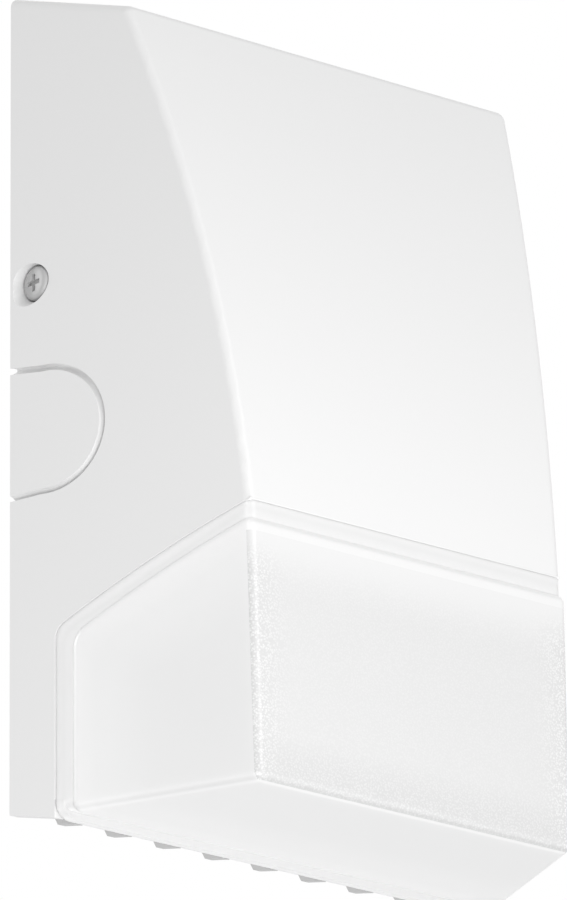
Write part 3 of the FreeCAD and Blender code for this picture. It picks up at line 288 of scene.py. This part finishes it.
def seen_directly(tree):
    """One for rays that show a surface as it is, from the eye, a mirror or a clear pane; zero for light."""
    path = add_node(tree, "ShaderNodeLightPath")
    seen = reckon(tree, "MAXIMUM", links={0: path.outputs["Is Camera Ray"], 1: path.outputs["Is Glossy Ray"]})
    return reckon(tree, "MAXIMUM", links={0: seen, 1: path.outputs["Is Transmission Ray"]})


def only(obj):
    """Makes one object the only selected one, and active."""
    for other in bpy.context.selected_objects:
        other.select_set(False)
    obj.select_set(True)
    bpy.context.view_layer.objects.active = obj


def deselect():
    """Leaves nothing selected and nothing active."""
    for other in bpy.context.selected_objects:
        other.select_set(False)
    bpy.context.view_layer.objects.active = None


def dress(obj, material):
    """Gives an object one material in place of all others."""
    obj.data.materials.clear()
    obj.data.materials.append(material)


def edit(obj, mode="VERT"):
    """Opens an object for mesh editing."""
    only(obj)
    bpy.ops.object.mode_set(mode="EDIT")
    bpy.ops.mesh.select_mode(type=mode)


def leave():
    """Ends mesh editing."""
    bpy.ops.object.mode_set(mode="OBJECT")


def apply_modifier(obj, kind, **settings):
    """Adds one modifier with its settings and applies it at once."""
    only(obj)
    modifier = obj.modifiers.new(kind.title(), kind)
    for key, value in settings.items():
        setattr(modifier, key, value)
    bpy.ops.object.modifier_apply(modifier=modifier.name)


def soften(obj, width, segments=2):
    """Rounds the sharp edges and shades the rest smooth."""
    if width:
        apply_modifier(obj, "BEVEL", width=width, segments=segments, limit_method="ANGLE",
                       angle_limit=BEVEL_ANGLE, harden_normals=False, use_clamp_overlap=True)
    only(obj)
    bpy.ops.object.shade_smooth_by_angle(angle=SMOOTH_ANGLE)


def settle_normals(obj):
    """Lets the large flat faces rule the shading, so that soft edges don't streak across them."""
    apply_modifier(obj, "WEIGHTED_NORMAL", mode="FACE_AREA", weight=50, keep_sharp=True)


def joined_copy(node, name):
    """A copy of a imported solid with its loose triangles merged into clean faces."""
    source = frame["nodes"][node]
    piece = source.copy()
    piece.data = source.data.copy()
    piece.name = name
    piece.data.name = name
    for key in list(piece.keys()):
        del piece[key]
    piece.parent = None
    bpy.context.scene.collection.objects.link(piece)
    edit(piece)
    bpy.ops.mesh.select_all(action="SELECT")
    if piece.data.has_custom_normals:
        bpy.ops.mesh.customdata_custom_splitnormals_clear()
    bpy.ops.mesh.remove_doubles(threshold=MERGE_DISTANCE)
    bpy.ops.mesh.dissolve_limited(angle_limit=FLAT_ANGLE)
    leave()
    return piece


def finished_copy(node, name, body, material, edge=0.0, segments=2):
    """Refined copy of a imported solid: merged faces, soft edges, smooth curves and its finish."""
    piece = joined_copy(node, name)
    soften(piece, edge, segments)
    dress(piece, material)
    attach(piece, body)
    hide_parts(node)
    return piece


def body_of(node):
    """Name of the moving body that a node belongs to."""
    for body, members in frame["record"]["behaviour"]["bodies"].items():
        if node in members:
            return body
    raise ValueError(node)


def settle_place(obj):
    """Moves an object's place, turn and scale into its mesh."""
    only(obj)
    bpy.ops.object.transform_apply(location=True, rotation=True, scale=True)


def place_piece(obj, matrix):
    """Moves a piece that was modelled at the origin to its place, in its mesh."""
    obj.data.transform(matrix)
    obj.data.update()


def side_screw_frame(side):
    """Matrix from a screw modelled along +Z, its seat at the origin, to the housing's side."""
    low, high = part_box("side_screw_left" if side < 0 else "side_screw_right")
    settings = bpy.context.scene.wall_pack_screws
    middle = (low + high) / 2
    seat = middle.x + side * (settings.length - settings.height) / 2
    return Matrix((
        (0, 0, side, seat),
        (side, 0, 0, middle.y),
        (0, 1, 0, middle.z),
        (0, 0, 0, 1),
    ))


# ---- materials ----------------------------------------------------------------------------
def powder_coat(name, colour):
    """White polyester powder over cast aluminium: a soft sheen with faint orange peel."""
    settings = bpy.context.scene.wall_pack_housing
    material, tree, shader = new_material(name, colour, Roughness=0.42)
    roughen(tree, shader, settings.peel, 0.012 * MM)
    return material


def paint_shade_on_lower_edges(tree, place, colour):
    """Paints shade on the lens's lower edges, which round from upright to facing down and would glare."""
    facing = add_node(tree, "ShaderNodeSeparateXYZ", links={"Vector": place.outputs["Normal"]})
    down = reckon(tree, "MULTIPLY", {1: -1.0}, {0: facing.outputs["Z"]})
    # Painted shade: faces tilted part way down are darkened, upright and downward faces are left as they are
    tone = toned(tree, down, ((0.3, "FFFFFF"), (0.72, "EFEFEF"), (0.97, "FFFFFF")), "EASE")
    calmed = add_node(tree, "ShaderNodeMix", {"Factor": 1.0}, data_type="RGBA", blend_type="MULTIPLY")
    tree.links.new(colour, calmed.inputs["A"])
    tree.links.new(tone, calmed.inputs["B"])
    return calmed.outputs["Result"]


def rim_distance(tree, where):
    """Distance inward from the lens's rim: the nearer of its back edge and its slanted upper edge."""
    settings = bpy.context.scene.wall_pack_lens
    lean = math.cos(settings.rim_slope)
    depth = reckon(tree, "MULTIPLY_ADD", {0: -1.0, 2: -settings.rim_depth}, {1: where.outputs["Y"]})
    drop = reckon(tree, "MULTIPLY_ADD", {0: -lean, 2: settings.rim_turn * lean}, {1: where.outputs["Z"]})
    slant = reckon(tree, "MULTIPLY_ADD", {0: math.sin(settings.rim_slope)}, {1: depth, 2: drop})
    return reckon(tree, "SMOOTH_MIN", {2: settings.rim_round}, {0: depth, 1: slant})


def frosted_plastic():
    """Moulded frosted polycarbonate: milky and smooth, with painted light and shade along its rolled rim."""
    settings = bpy.context.scene.wall_pack_lens
    material, tree, shader = new_material("frosted_polycarbonate", settings.colour, Roughness=0.38,
                                          IOR=1.58, Subsurface_Weight=0.35, Subsurface_Scale=3.0 * MM,
                                          Subsurface_Radius=(1, 1, 1))
    place = add_node(tree, "ShaderNodeTexCoord")
    where = add_node(tree, "ShaderNodeSeparateXYZ", links={"Vector": place.outputs["Object"]})
    share = reckon(tree, "MULTIPLY", {1: 1 / settings.painted_rim_light_reach}, {0: rim_distance(tree, where)})
    # Painted light from the rim inward: a painted highlight on its bead, painted shade in the gap behind it,
    # a painted highlight on the shoulder, then the plain wall
    stops = (
        (0.0, "FFFFFF"), (0.015, "FFFFFF"), (0.035, "F4F4F4"), (0.055, "F6F6F6"), (0.09, "FFFFFF"),
        (0.14, "FFFFFF"), (0.24, "FBFBFB"), (0.55, "F1F1F1"), (1.0, settings.colour),
    )
    glow = toned(tree, share, stops, "B_SPLINE")
    # Painted shade: the border that faces forward is a little greyer than the sides
    facing = add_node(tree, "ShaderNodeSeparateXYZ", links={"Vector": place.outputs["Normal"]})
    ahead = fade(tree, facing.outputs["Y"], -0.95, -0.6, 1.0, 0.0)
    forward_shade = add_node(tree, "ShaderNodeMix", links={"Factor": ahead}, data_type="RGBA", blend_type="MULTIPLY")
    tree.links.new(glow, forward_shade.inputs["A"])
    forward_shade.inputs["B"].default_value = linear("EEEEEE")
    even = paint_shade_on_lower_edges(tree, place, forward_shade.outputs["Result"])
    tree.links.new(even, shader.inputs["Base Color"])
    relief = roughen(tree, shader, 0.5 * MM, 0.003 * MM)
    soft = add_node(tree, "ShaderNodeBevel", {"Radius": 0.35 * MM}, samples=4)
    tree.links.new(soft.outputs["Normal"], relief.inputs["Normal"])
    return material


def stippled_plastic():
    """The same polycarbonate with a fine stipple: tiny facets in relief, with painted glints on them, most of
    all at the rim.

    The real grain is finer; it is drawn as coarse as it needs to show.
    """
    settings = bpy.context.scene.wall_pack_lens
    foot = settings.panel_foot
    top = settings.panel_top
    half = settings.panel_half
    material, tree, shader = new_material("stippled_polycarbonate", settings.colour, Roughness=0.34,
                                          IOR=1.58, Subsurface_Weight=0.2, Subsurface_Scale=1.0 * MM,
                                          Subsurface_Radius=(1, 1, 1))
    place = add_node(tree, "ShaderNodeTexCoord")
    where = add_node(tree, "ShaderNodeSeparateXYZ", links={"Vector": place.outputs["Object"]})
    aside = reckon(tree, "ABSOLUTE", links={0: where.outputs["X"]})
    # Strength of the stipple and of its painted glints: quiet in the middle, lively at the sides, gone at the
    # top
    quiet, livelier, liveliest = 0.11, 0.3, 0.6
    at_sides = fade(tree, aside, half - PANEL_SIDE_FADE, half, quiet, liveliest)
    at_foot = fade(tree, where.outputs["Z"], foot, foot + PANEL_END_FADE, livelier, quiet)
    at_top = fade(tree, where.outputs["Z"], top - PANEL_END_FADE, top, 1.0, 0.0)
    rim = reckon(tree, "MAXIMUM", links={0: at_sides, 1: at_foot})
    rim = reckon(tree, "MULTIPLY", links={0: rim, 1: at_top})
    grain = add_node(tree, "ShaderNodeTexVoronoi", {"Scale": 1.0 / settings.grain, "Randomness": 1.0},
                     {"Vector": place.outputs["Object"]}, feature="F1")
    relief = add_node(tree, "ShaderNodeBump", {"Distance": 0.035 * MM},
                      {"Height": grain.outputs["Distance"], "Strength": rim})
    tree.links.new(relief.outputs["Normal"], shader.inputs["Normal"])
    # Painted shade: the panel's base tone darkens toward its foot, and it is lighter toward its top
    level = fade(tree, where.outputs["Z"], foot, top, 0.0, 1.0, "LINEAR")
    tone = toned(tree, level, ((0.0, "D5D5D5"), (0.2, "DEDEDE"), (0.74, "DEDEDE"), (1.0, "E8E8E8")), "EASE")
    # Painted glints: each grain's middle is painted white, fading to grey at its edges
    painted_glints = toned(tree, grain.outputs["Distance"], ((0.1, "FFFFFF"), (0.6, "D4D4D4")))
    mix = add_node(tree, "ShaderNodeMix", links={"Factor": rim}, data_type="RGBA")
    tree.links.new(tone, mix.inputs["A"])
    tree.links.new(painted_glints, mix.inputs["B"])
    even = paint_shade_on_lower_edges(tree, place, mix.outputs["Result"])
    tree.links.new(even, shader.inputs["Base Color"])
    return material


def zinc_plate():
    """Dulled zinc on steel: a pale grey metal with only a soft sheen."""
    material, tree, shader = new_material("zinc_plated_steel", "BEBEBE", Metallic=0.35, Roughness=0.6)
    roughen(tree, shader, 0.4 * MM, 0.002 * MM)
    return material


def galvanised_sheet():
    """Hot-dip galvanised sheet: dull grey metal with faint spangle in large flakes."""
    material, tree, shader = new_material("galvanised_sheet", "A9ACAE", Metallic=1.0, Roughness=0.45)
    place = add_node(tree, "ShaderNodeTexCoord")
    spangle = add_node(tree, "ShaderNodeTexVoronoi", {"Scale": 1.0 / (6.0 * MM)},
                       {"Vector": place.outputs["Object"]}, feature="F1")
    shade = toned(tree, spangle.outputs["Color"], ((0.0, "9B9EA1"), (1.0, "B8BBBD")))
    tree.links.new(shade, shader.inputs["Base Color"])
    return material


def satin_aluminium():
    """Extruded aluminium with a mill finish: fine lines along its length."""
    material, tree, shader = new_material("mill_aluminium", "C4C6C8", Metallic=1.0, Roughness=0.34)
    place = add_node(tree, "ShaderNodeTexCoord")
    stretch = add_node(tree, "ShaderNodeMapping", {"Scale": (0.02, 1.0, 1.0)},
                       {"Vector": place.outputs["Object"]})
    lines = add_node(tree, "ShaderNodeTexNoise", {"Scale": 1.0 / (0.4 * MM)},
                     {"Vector": stretch.outputs["Vector"]})
    relief = add_node(tree, "ShaderNodeBump", {"Strength": 1.0, "Distance": 0.004 * MM},
                      {"Height": lines.outputs["Fac"]})
    tree.links.new(relief.outputs["Normal"], shader.inputs["Normal"])
    return material


def moulded(name, hex_colour, roughness=0.45, width=0.6 * MM, height=0.004 * MM, **values):
    """Moulded or coated plastic and rubber: an even colour with a fine moulded grain."""
    material, tree, shader = new_material(name, hex_colour, Roughness=roughness, **values)
    roughen(tree, shader, width, height)
    return material


# ---- operators ----------------------------------------------------------------------------
class WALLPACK_OT_housing(bpy.types.Operator):
    """Die-cast housing with soft powder-coated edges, and its finned heat sink"""
    bl_idname = "wall_pack.housing"
    bl_label = "Housing and heat sink"

    def execute(self, context):
        settings = context.scene.wall_pack_housing
        coat = powder_coat("powder_coat_white", settings.colour)
        # Greyer copy of the coat for the fins: partly a greyer powder, partly painted shade
        shaded_fin_coat = powder_coat("powder_coat_fins_painted_shade", settings.fin_colour)
        shell = finished_copy("housing", "cast_housing", "fixture", coat, settings.edge, 3)
        self.deepen_scores(shell, settings)
        settle_normals(shell)
        sink = finished_copy("heat_sink", "finned_sink", "fixture", shaded_fin_coat, settings.edge)
        settle_normals(sink)
        return {"FINISHED"}

    @staticmethod
    def deepen_scores(shell, settings):
        """Pushes the floor of both knock-out score lines further in, and away from the knock-out."""
        for vertex in shell.data.vertices:
            x, y, z = vertex.co
            below = (WALL_HALF + y * math.tan(SIDE_DRAFT) - abs(x)) * math.cos(SIDE_DRAFT)
            near = SCORE_FOOT < z < SCORE_HEAD and y > -SCORE_REACH
            if near and SCORE_SHALLOWEST < below < SCORE_DEEPEST:
                further = below * (settings.score - 1)
                vertex.co.x -= math.copysign(further / math.cos(SIDE_DRAFT), x)
                outward = Vector((0, min(y + KNOCKOUT_REACH, 0), z - KNOCKOUT_LEVEL)).normalized()
                vertex.co += outward * below * settings.undercut


class WALLPACK_OT_lens(bpy.types.Operator):
    """Wrap-round frosted lens with a stippled front panel"""
    bl_idname = "wall_pack.lens"
    bl_label = "Frosted lens"

    def execute(self, context):
        settings = context.scene.wall_pack_lens
        piece = joined_copy("lens", "frosted_lens")
        soften(piece, settings.edge, 3)
        self.outline_panel(piece, settings)
        dress(piece, frosted_plastic())
        piece.data.materials.append(stippled_plastic())
        front = min(v.co.y for v in piece.data.vertices)
        low = min(v.co.z for v in piece.data.vertices)
        for face in piece.data.polygons:
            inside = abs(face.center.x) < settings.panel_half and face.center.z < settings.panel_top
            outer = face.normal.y < LOOKS_FORWARD and face.center.y < front + PANEL_DEPTH
            face.material_index = 1 if inside and outer and face.center.z > low + PANEL_BORDER else 0
        only(piece)
        bpy.ops.object.shade_smooth_by_angle(angle=SMOOTH_ANGLE)
        settle_normals(piece)
        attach(piece, "fixture")
        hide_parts("lens")
        return {"FINISHED"}

    @staticmethod
    def outline_panel(piece, settings):
        """Cuts the front wall's faces along the panel's upper edge."""
        edit(piece, "FACE")
        bpy.ops.mesh.select_all(action="DESELECT")
        leave()
        for face in piece.data.polygons:
            face.select = face.normal.y < LOOKS_FORWARD
        edit(piece, "FACE")
        bpy.ops.mesh.bisect(plane_co=(0, 0, settings.panel_top), plane_no=(0, 0, 1))
        leave()


class WALLPACK_OT_side_screws(bpy.types.Operator):
    """Pan-head screws with a cross recess, their washers and their nuts"""
    bl_idname = "wall_pack.side_screws"
    bl_label = "Side screws"

    def execute(self, context):
        settings = context.scene.wall_pack_screws
        zinc = zinc_plate()
        pattern = self.pan_head(settings)
        for side, name in ((-1, "left"), (1, "right")):
            piece = pattern.copy()
            piece.data = pattern.data.copy()
            piece.name = "cross_screw_" + name
            context.scene.collection.objects.link(piece)
            place_piece(piece, side_screw_frame(side))
            dress(piece, zinc)
            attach(piece, "screw_" + name)
            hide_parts("side_screw_" + name)
        bpy.data.objects.remove(pattern)
        finished_copy("side_washers", "pocket_washers", "fixture", zinc, FINE_EDGE)
        finished_copy("side_nuts", "square_nuts", "fixture", zinc, 0.25 * MM)
        return {"FINISHED"}

    @classmethod
    def pan_head(cls, settings):
        """Screw along +Z with its seat at the origin: domed head, cross recess, threaded shank."""
        deselect()
        bpy.ops.mesh.primitive_cylinder_add(vertices=64, radius=settings.head, depth=settings.height,
                                            location=(0, 0, settings.height / 2))
        head = bpy.context.object
        edit(head, "EDGE")
        bpy.ops.mesh.select_all(action="DESELECT")
        leave()
        for edge in head.data.edges:
            ends = [head.data.vertices[i].co for i in edge.vertices]
            upper = all(co.z > 0 for co in ends)
            edge.select = upper and all(abs(co.xy.length - settings.head) < MERGE_DISTANCE for co in ends)
        edit(head, "EDGE")
        bpy.ops.mesh.bevel(offset=settings.height * settings.crown, segments=7, profile=0.55,
                           affect="EDGES")
        leave()
        for turn in (0, math.pi / 2):
            blade = cls.cross_blade(settings, turn)
            apply_modifier(head, "BOOLEAN", operation="DIFFERENCE", object=blade, solver="EXACT")
            bpy.data.objects.remove(blade)
        settle_place(head)
        soften(head, 0.06 * MM, 2)
        shank = cls.threaded_shank(settings)
        only(head)
        shank.select_set(True)
        bpy.ops.object.join()
        bpy.ops.object.shade_smooth_by_angle(angle=SMOOTH_ANGLE)
        return head

    @staticmethod
    def cross_blade(settings, turn):
        """Tool for one bar of the cross: it narrows downward, and its middle lies in the head's face."""
        long_taper, wide_taper = 0.6, 0.7
        length = settings.arm / ((1 + long_taper) / 2)
        width = settings.slit / ((1 + wide_taper) / 2)
        depth = settings.height * settings.sink
        face = (0, 0, settings.height)
        foot = (0, 0, settings.height - depth)
        deselect()
        bpy.ops.mesh.primitive_cube_add(size=1, location=face)
        blade = bpy.context.object
        edit(blade)
        bpy.ops.mesh.select_all(action="SELECT")
        bpy.ops.transform.resize(value=(length, width, depth * 2), center_override=face)
        leave()
        for vertex in blade.data.vertices:
            vertex.select = vertex.co.z < 0
        edit(blade)
        bpy.ops.transform.resize(value=(long_taper, wide_taper, 1), center_override=foot)
        leave()
        settle_place(blade)
        place_piece(blade, Matrix.Rotation(turn, 4, "Z"))
        return blade

    @staticmethod
    def threaded_shank(settings):
        """Shank under the seat, waisted at every second ring to show a thread."""
        deselect()
        bpy.ops.mesh.primitive_cylinder_add(vertices=24, radius=settings.shank, depth=settings.length,
                                            location=(0, 0, -settings.length / 2))
        shank = bpy.context.object
        settle_place(shank)
        turns = int(settings.length / settings.pitch)
        for index in range(1, 2 * turns):
            edit(shank)
            bpy.ops.mesh.select_all(action="SELECT")
            ring = (0, 0, -settings.length + index * settings.pitch / 2)
            bpy.ops.mesh.bisect(plane_co=ring, plane_no=(0, 0, 1))
            if index % 2:
                bpy.ops.transform.resize(value=(settings.root, settings.root, 1), center_override=ring)
            leave()
        return shank


class WALLPACK_OT_wall_side(bpy.types.Operator):
    """Galvanised wall plate with its foam gasket, rubber grommet and ground screw"""
    bl_idname = "wall_pack.wall_side"
    bl_label = "Wall plate"

    def execute(self, context):
        finished_copy("back_plate", "folded_plate", "wall_plate", galvanised_sheet(), 0.15 * MM)
        foam = moulded("closed_cell_foam", "26272A", 0.9, 0.8 * MM, 0.05 * MM)
        finished_copy("wall_gasket", "foam_gasket", "wall_plate", foam, 0.2 * MM)
        rubber = moulded("black_rubber", "1B1B1C", 0.6)
        finished_copy("wire_grommet", "plate_grommet", "wall_plate", rubber, 0.25 * MM)
        finished_copy("lead_grommet", "partition_grommet", "fixture", rubber, 0.2 * MM)
        green = moulded("green_dyed_zinc", "2C7A3E", 0.35, Metallic=0.8)
        finished_copy("ground_screw", "plate_ground_screw", "wall_plate", green, FINE_EDGE)
        finished_copy("ground_lead_screw", "housing_ground_screw", "fixture", green,
                      FINE_EDGE)
        return {"FINISHED"}


class WALLPACK_OT_light_engine(bpy.types.Operator):
    """LED board with its packages, pad, connector, screws, reflector and lens gasket"""
    bl_idname = "wall_pack.light_engine"
    bl_label = "Light engine"

    def execute(self, context):
        zinc = zinc_plate()
        looks = {
            "thermal_pad": moulded("silicone_thermal_pad", "7C8084", 0.8),
            "led_board": moulded("white_solder_mask", "EDEDE8", 0.3),
            "leds": moulded("phosphor_yellow", "EBD35C", 0.35),
            "led_connector": moulded("natural_nylon", "E6E2D4", 0.45),
            "board_screws": zinc,
            "reflector": moulded("reflector_enamel", "F4F4F3", 0.25),
            "lens_gasket": moulded("silicone_gasket", "F2F2F2", 0.5),
            "lens_screws": zinc,
            "heat_sink_screws": zinc,
        }
        for node, look in looks.items():
            piece = finished_copy(node, "finished_" + node, body_of(node), look, FINE_EDGE)
            if node == "lens_gasket":
                self.spread_gasket(piece, context.scene.wall_pack_lens)
        return {"FINISHED"}

    @staticmethod
    def spread_gasket(piece, settings):
        """Presses the silicone's outer edge out into the seam, up to the faces of the housing."""
        front = min(vertex.co.y for vertex in piece.data.vertices)
        forward = settings.gasket_spread * settings.gasket_forward
        for vertex in piece.data.vertices:
            edge = WALL_HALF + vertex.co.y * math.tan(SIDE_DRAFT) - RING_EDGE
            step = forward if vertex.co.y < front + RING_FRONT else 0.0
            if abs(vertex.co.x) > edge:
                aside = settings.gasket_spread - step * math.tan(SIDE_DRAFT)
                vertex.co.x += math.copysign(aside, vertex.co.x)
            vertex.co.y -= step
            vertex.co.z += step * math.tan(SEAM_SLOPE)


class WALLPACK_OT_driver(bpy.types.Operator):
    """Aluminium driver with plastic end caps, and its screws"""
    bl_idname = "wall_pack.driver"
    bl_label = "Driver"

    def execute(self, context):
        finished_copy("driver_case", "driver_body", "fixture", satin_aluminium(),
                      0.3 * MM)
        caps = moulded("black_nylon_caps", "1E1F21", 0.5)
        finished_copy("driver_end_caps", "driver_caps", "fixture", caps, 0.3 * MM)
        finished_copy("driver_screws", "driver_fixings", "fixture", zinc_plate(), FINE_EDGE)
        return {"FINISHED"}


class WALLPACK_OT_wiring(bpy.types.Operator):
    """Insulated leads and twist-on connectors"""
    bl_idname = "wall_pack.wiring"
    bl_label = "Wiring"

    def execute(self, context):
        settings = context.scene.wall_pack_wiring
        colours = {
            "supply_lead_line": ("wire_black", "161617"),
            "supply_lead_neutral": ("wire_white", "E9E8E2"),
            "ground_lead": ("wire_green", "23793B"),
            "output_lead_positive": ("wire_red", "A3201C"),
            "output_lead_negative": ("wire_black", "161617"),
        }
        for node, (slot, colour) in colours.items():
            look = moulded(slot + "_insulation_" + node, colour, 0.32)
            finished_copy(node, "insulated_" + node, "fixture", look)
        cones = moulded("connector_thermoplastic", settings.cone_colour, 0.45)
        finished_copy("wire_connectors", "twist_connectors", "fixture", cones, 0.3 * MM)
        return {"FINISHED"}


class WALLPACK_OT_stage(bpy.types.Operator):
    """Pale floor, white surroundings, soft lights and the camera"""
    bl_idname = "wall_pack.stage"
    bl_label = "Stage"

    def execute(self, context):
        settings = context.scene.wall_pack_stage
        context.scene.view_settings.view_transform = "Standard"
        self.floor()
        self.surroundings(settings)
        self.area("key_light", (0.3, -2.0, 0.9), 0.9, settings.key)
        self.area("fill_light", (-0.35, -0.62, -0.45), 0.3, settings.fill)
        self.area("edge_light", (-0.63, 1.05, 0.5), 0.35, settings.edge)
        self.area("low_light", (0.15, -0.5, -0.9), 0.6, settings.low)
        self.camera(settings)
        return {"FINISHED"}

    @staticmethod
    def floor():
        """Plain pale floor, far enough down to stay out of a view from below."""
        deselect()
        bpy.ops.mesh.primitive_plane_add(size=FLOOR_SIZE, location=(0, 0, FLOOR_LEVEL))
        floor = bpy.context.object
        floor.name = "floor"
        settle_place(floor)
        material, tree, shader = new_material("pale_floor", "EDEDED", Roughness=0.9)
        shown = seen_directly(tree)
        glow = add_node(tree, "ShaderNodeEmission", {"Color": (1, 1, 1, 1), "Strength": 0.25})
        both = add_node(tree, "ShaderNodeAddShader", links={0: shader.outputs[0], 1: glow.outputs[0]})
        mix = add_node(tree, "ShaderNodeMixShader",
                       links={0: shown, 1: shader.outputs[0], 2: both.outputs[0]})
        tree.links.new(mix.outputs[0], tree.nodes["Material Output"].inputs["Surface"])
        dress(floor, material)

    @staticmethod
    def surroundings(settings):
        """Even light all round, with the backdrop's own colour where it is seen."""
        world = bpy.data.worlds.new("studio")
        bpy.context.scene.world = world
        world.use_nodes = True
        tree = world.node_tree
        tree.nodes.clear()
        shown = seen_directly(tree)
        even = add_node(tree, "ShaderNodeBackground", {"Color": (1, 1, 1, 1), "Strength": settings.world})
        backdrop = tuple(settings.backdrop) + (1.0,)
        white = add_node(tree, "ShaderNodeBackground", {"Color": backdrop, "Strength": 1.0})
        mix = add_node(tree, "ShaderNodeMixShader",
                       links={0: shown, 1: even.outputs[0], 2: white.outputs[0]})
        add_node(tree, "ShaderNodeOutputWorld", links={"Surface": mix.outputs[0]})

    @staticmethod
    def area(name, place, size, power):
        """Square area light at a place, turned to face the origin."""
        light = bpy.data.lights.new(name, "AREA")
        light.size = size
        light.energy = power
        lamp = bpy.data.objects.new(name, light)
        bpy.context.scene.collection.objects.link(lamp)
        toward = Vector(place)
        turn = toward.to_track_quat("Z", "Y").to_matrix().to_4x4()
        lamp.matrix_world = Matrix.Translation(toward) @ turn

    @staticmethod
    def camera(settings):
        """The photograph's view: from the left, in front and below."""
        data = bpy.data.cameras.new("photo_camera")
        data.sensor_width = 36.0
        data.lens = settings.focal
        data.shift_x, data.shift_y = settings.shift
        data.clip_start = 0.05
        data.clip_end = 50.0
        camera = bpy.data.objects.new("photo_camera", data)
        bpy.context.scene.collection.objects.link(camera)
        level = Vector((math.sin(settings.azimuth), math.cos(settings.azimuth), 0))
        forward = level * math.cos(settings.rise) + Vector((0, 0, math.sin(settings.rise)))
        aside = level.cross(Vector((0, 0, 1)))
        right = aside * math.cos(settings.roll) + aside.cross(forward) * math.sin(settings.roll)
        turn = Matrix((right, right.cross(forward), -forward)).transposed().to_4x4()
        place = Vector(settings.target) - forward * settings.distance
        camera.matrix_world = Matrix.Translation(place) @ turn
        bpy.context.scene.camera = camera


STEPS = (
    WALLPACK_OT_housing,
    WALLPACK_OT_lens,
    WALLPACK_OT_side_screws,
    WALLPACK_OT_wall_side,
    WALLPACK_OT_light_engine,
    WALLPACK_OT_driver,
    WALLPACK_OT_wiring,
    WALLPACK_OT_stage,
)
SETTINGS = {
    "wall_pack_housing": HousingSettings,
    "wall_pack_lens": LensSettings,
    "wall_pack_screws": ScrewSettings,
    "wall_pack_wiring": WiringSettings,
    "wall_pack_stage": StageSettings,
}


class WALLPACK_PT_panel(bpy.types.Panel):
    """Lists the steps that build the wall pack light"""
    bl_idname = "WALLPACK_PT_panel"
    bl_label = "Wall pack light"
    bl_space_type = "VIEW_3D"
    bl_region_type = "UI"
    bl_category = "Wall Pack"

    def draw(self, context):
        for name, group in SETTINGS.items():
            box = self.layout.box()
            for key in group.__annotations__:
                box.prop(getattr(context.scene, name), key)
        for step in STEPS:
            self.layout.operator(step.bl_idname)


def register():
    for group in SETTINGS.values():
        bpy.utils.register_class(group)
    for name, group in SETTINGS.items():
        setattr(bpy.types.Scene, name, PointerProperty(type=group))
    for step in STEPS:
        bpy.utils.register_class(step)
    bpy.utils.register_class(WALLPACK_PT_panel)


def unregister():
    bpy.utils.unregister_class(WALLPACK_PT_panel)
    for step in reversed(STEPS):
        bpy.utils.unregister_class(step)
    for name, group in SETTINGS.items():
        delattr(bpy.types.Scene, name)
        bpy.utils.unregister_class(group)


def main():
    register()
    bpy.ops.wall_pack.housing()
    bpy.ops.wall_pack.lens()
    bpy.ops.wall_pack.side_screws()
    bpy.ops.wall_pack.wall_side()
    bpy.ops.wall_pack.light_engine()
    bpy.ops.wall_pack.driver()
    bpy.ops.wall_pack.wiring()
    bpy.ops.wall_pack.stage()


if __name__ == "__main__":
    main()
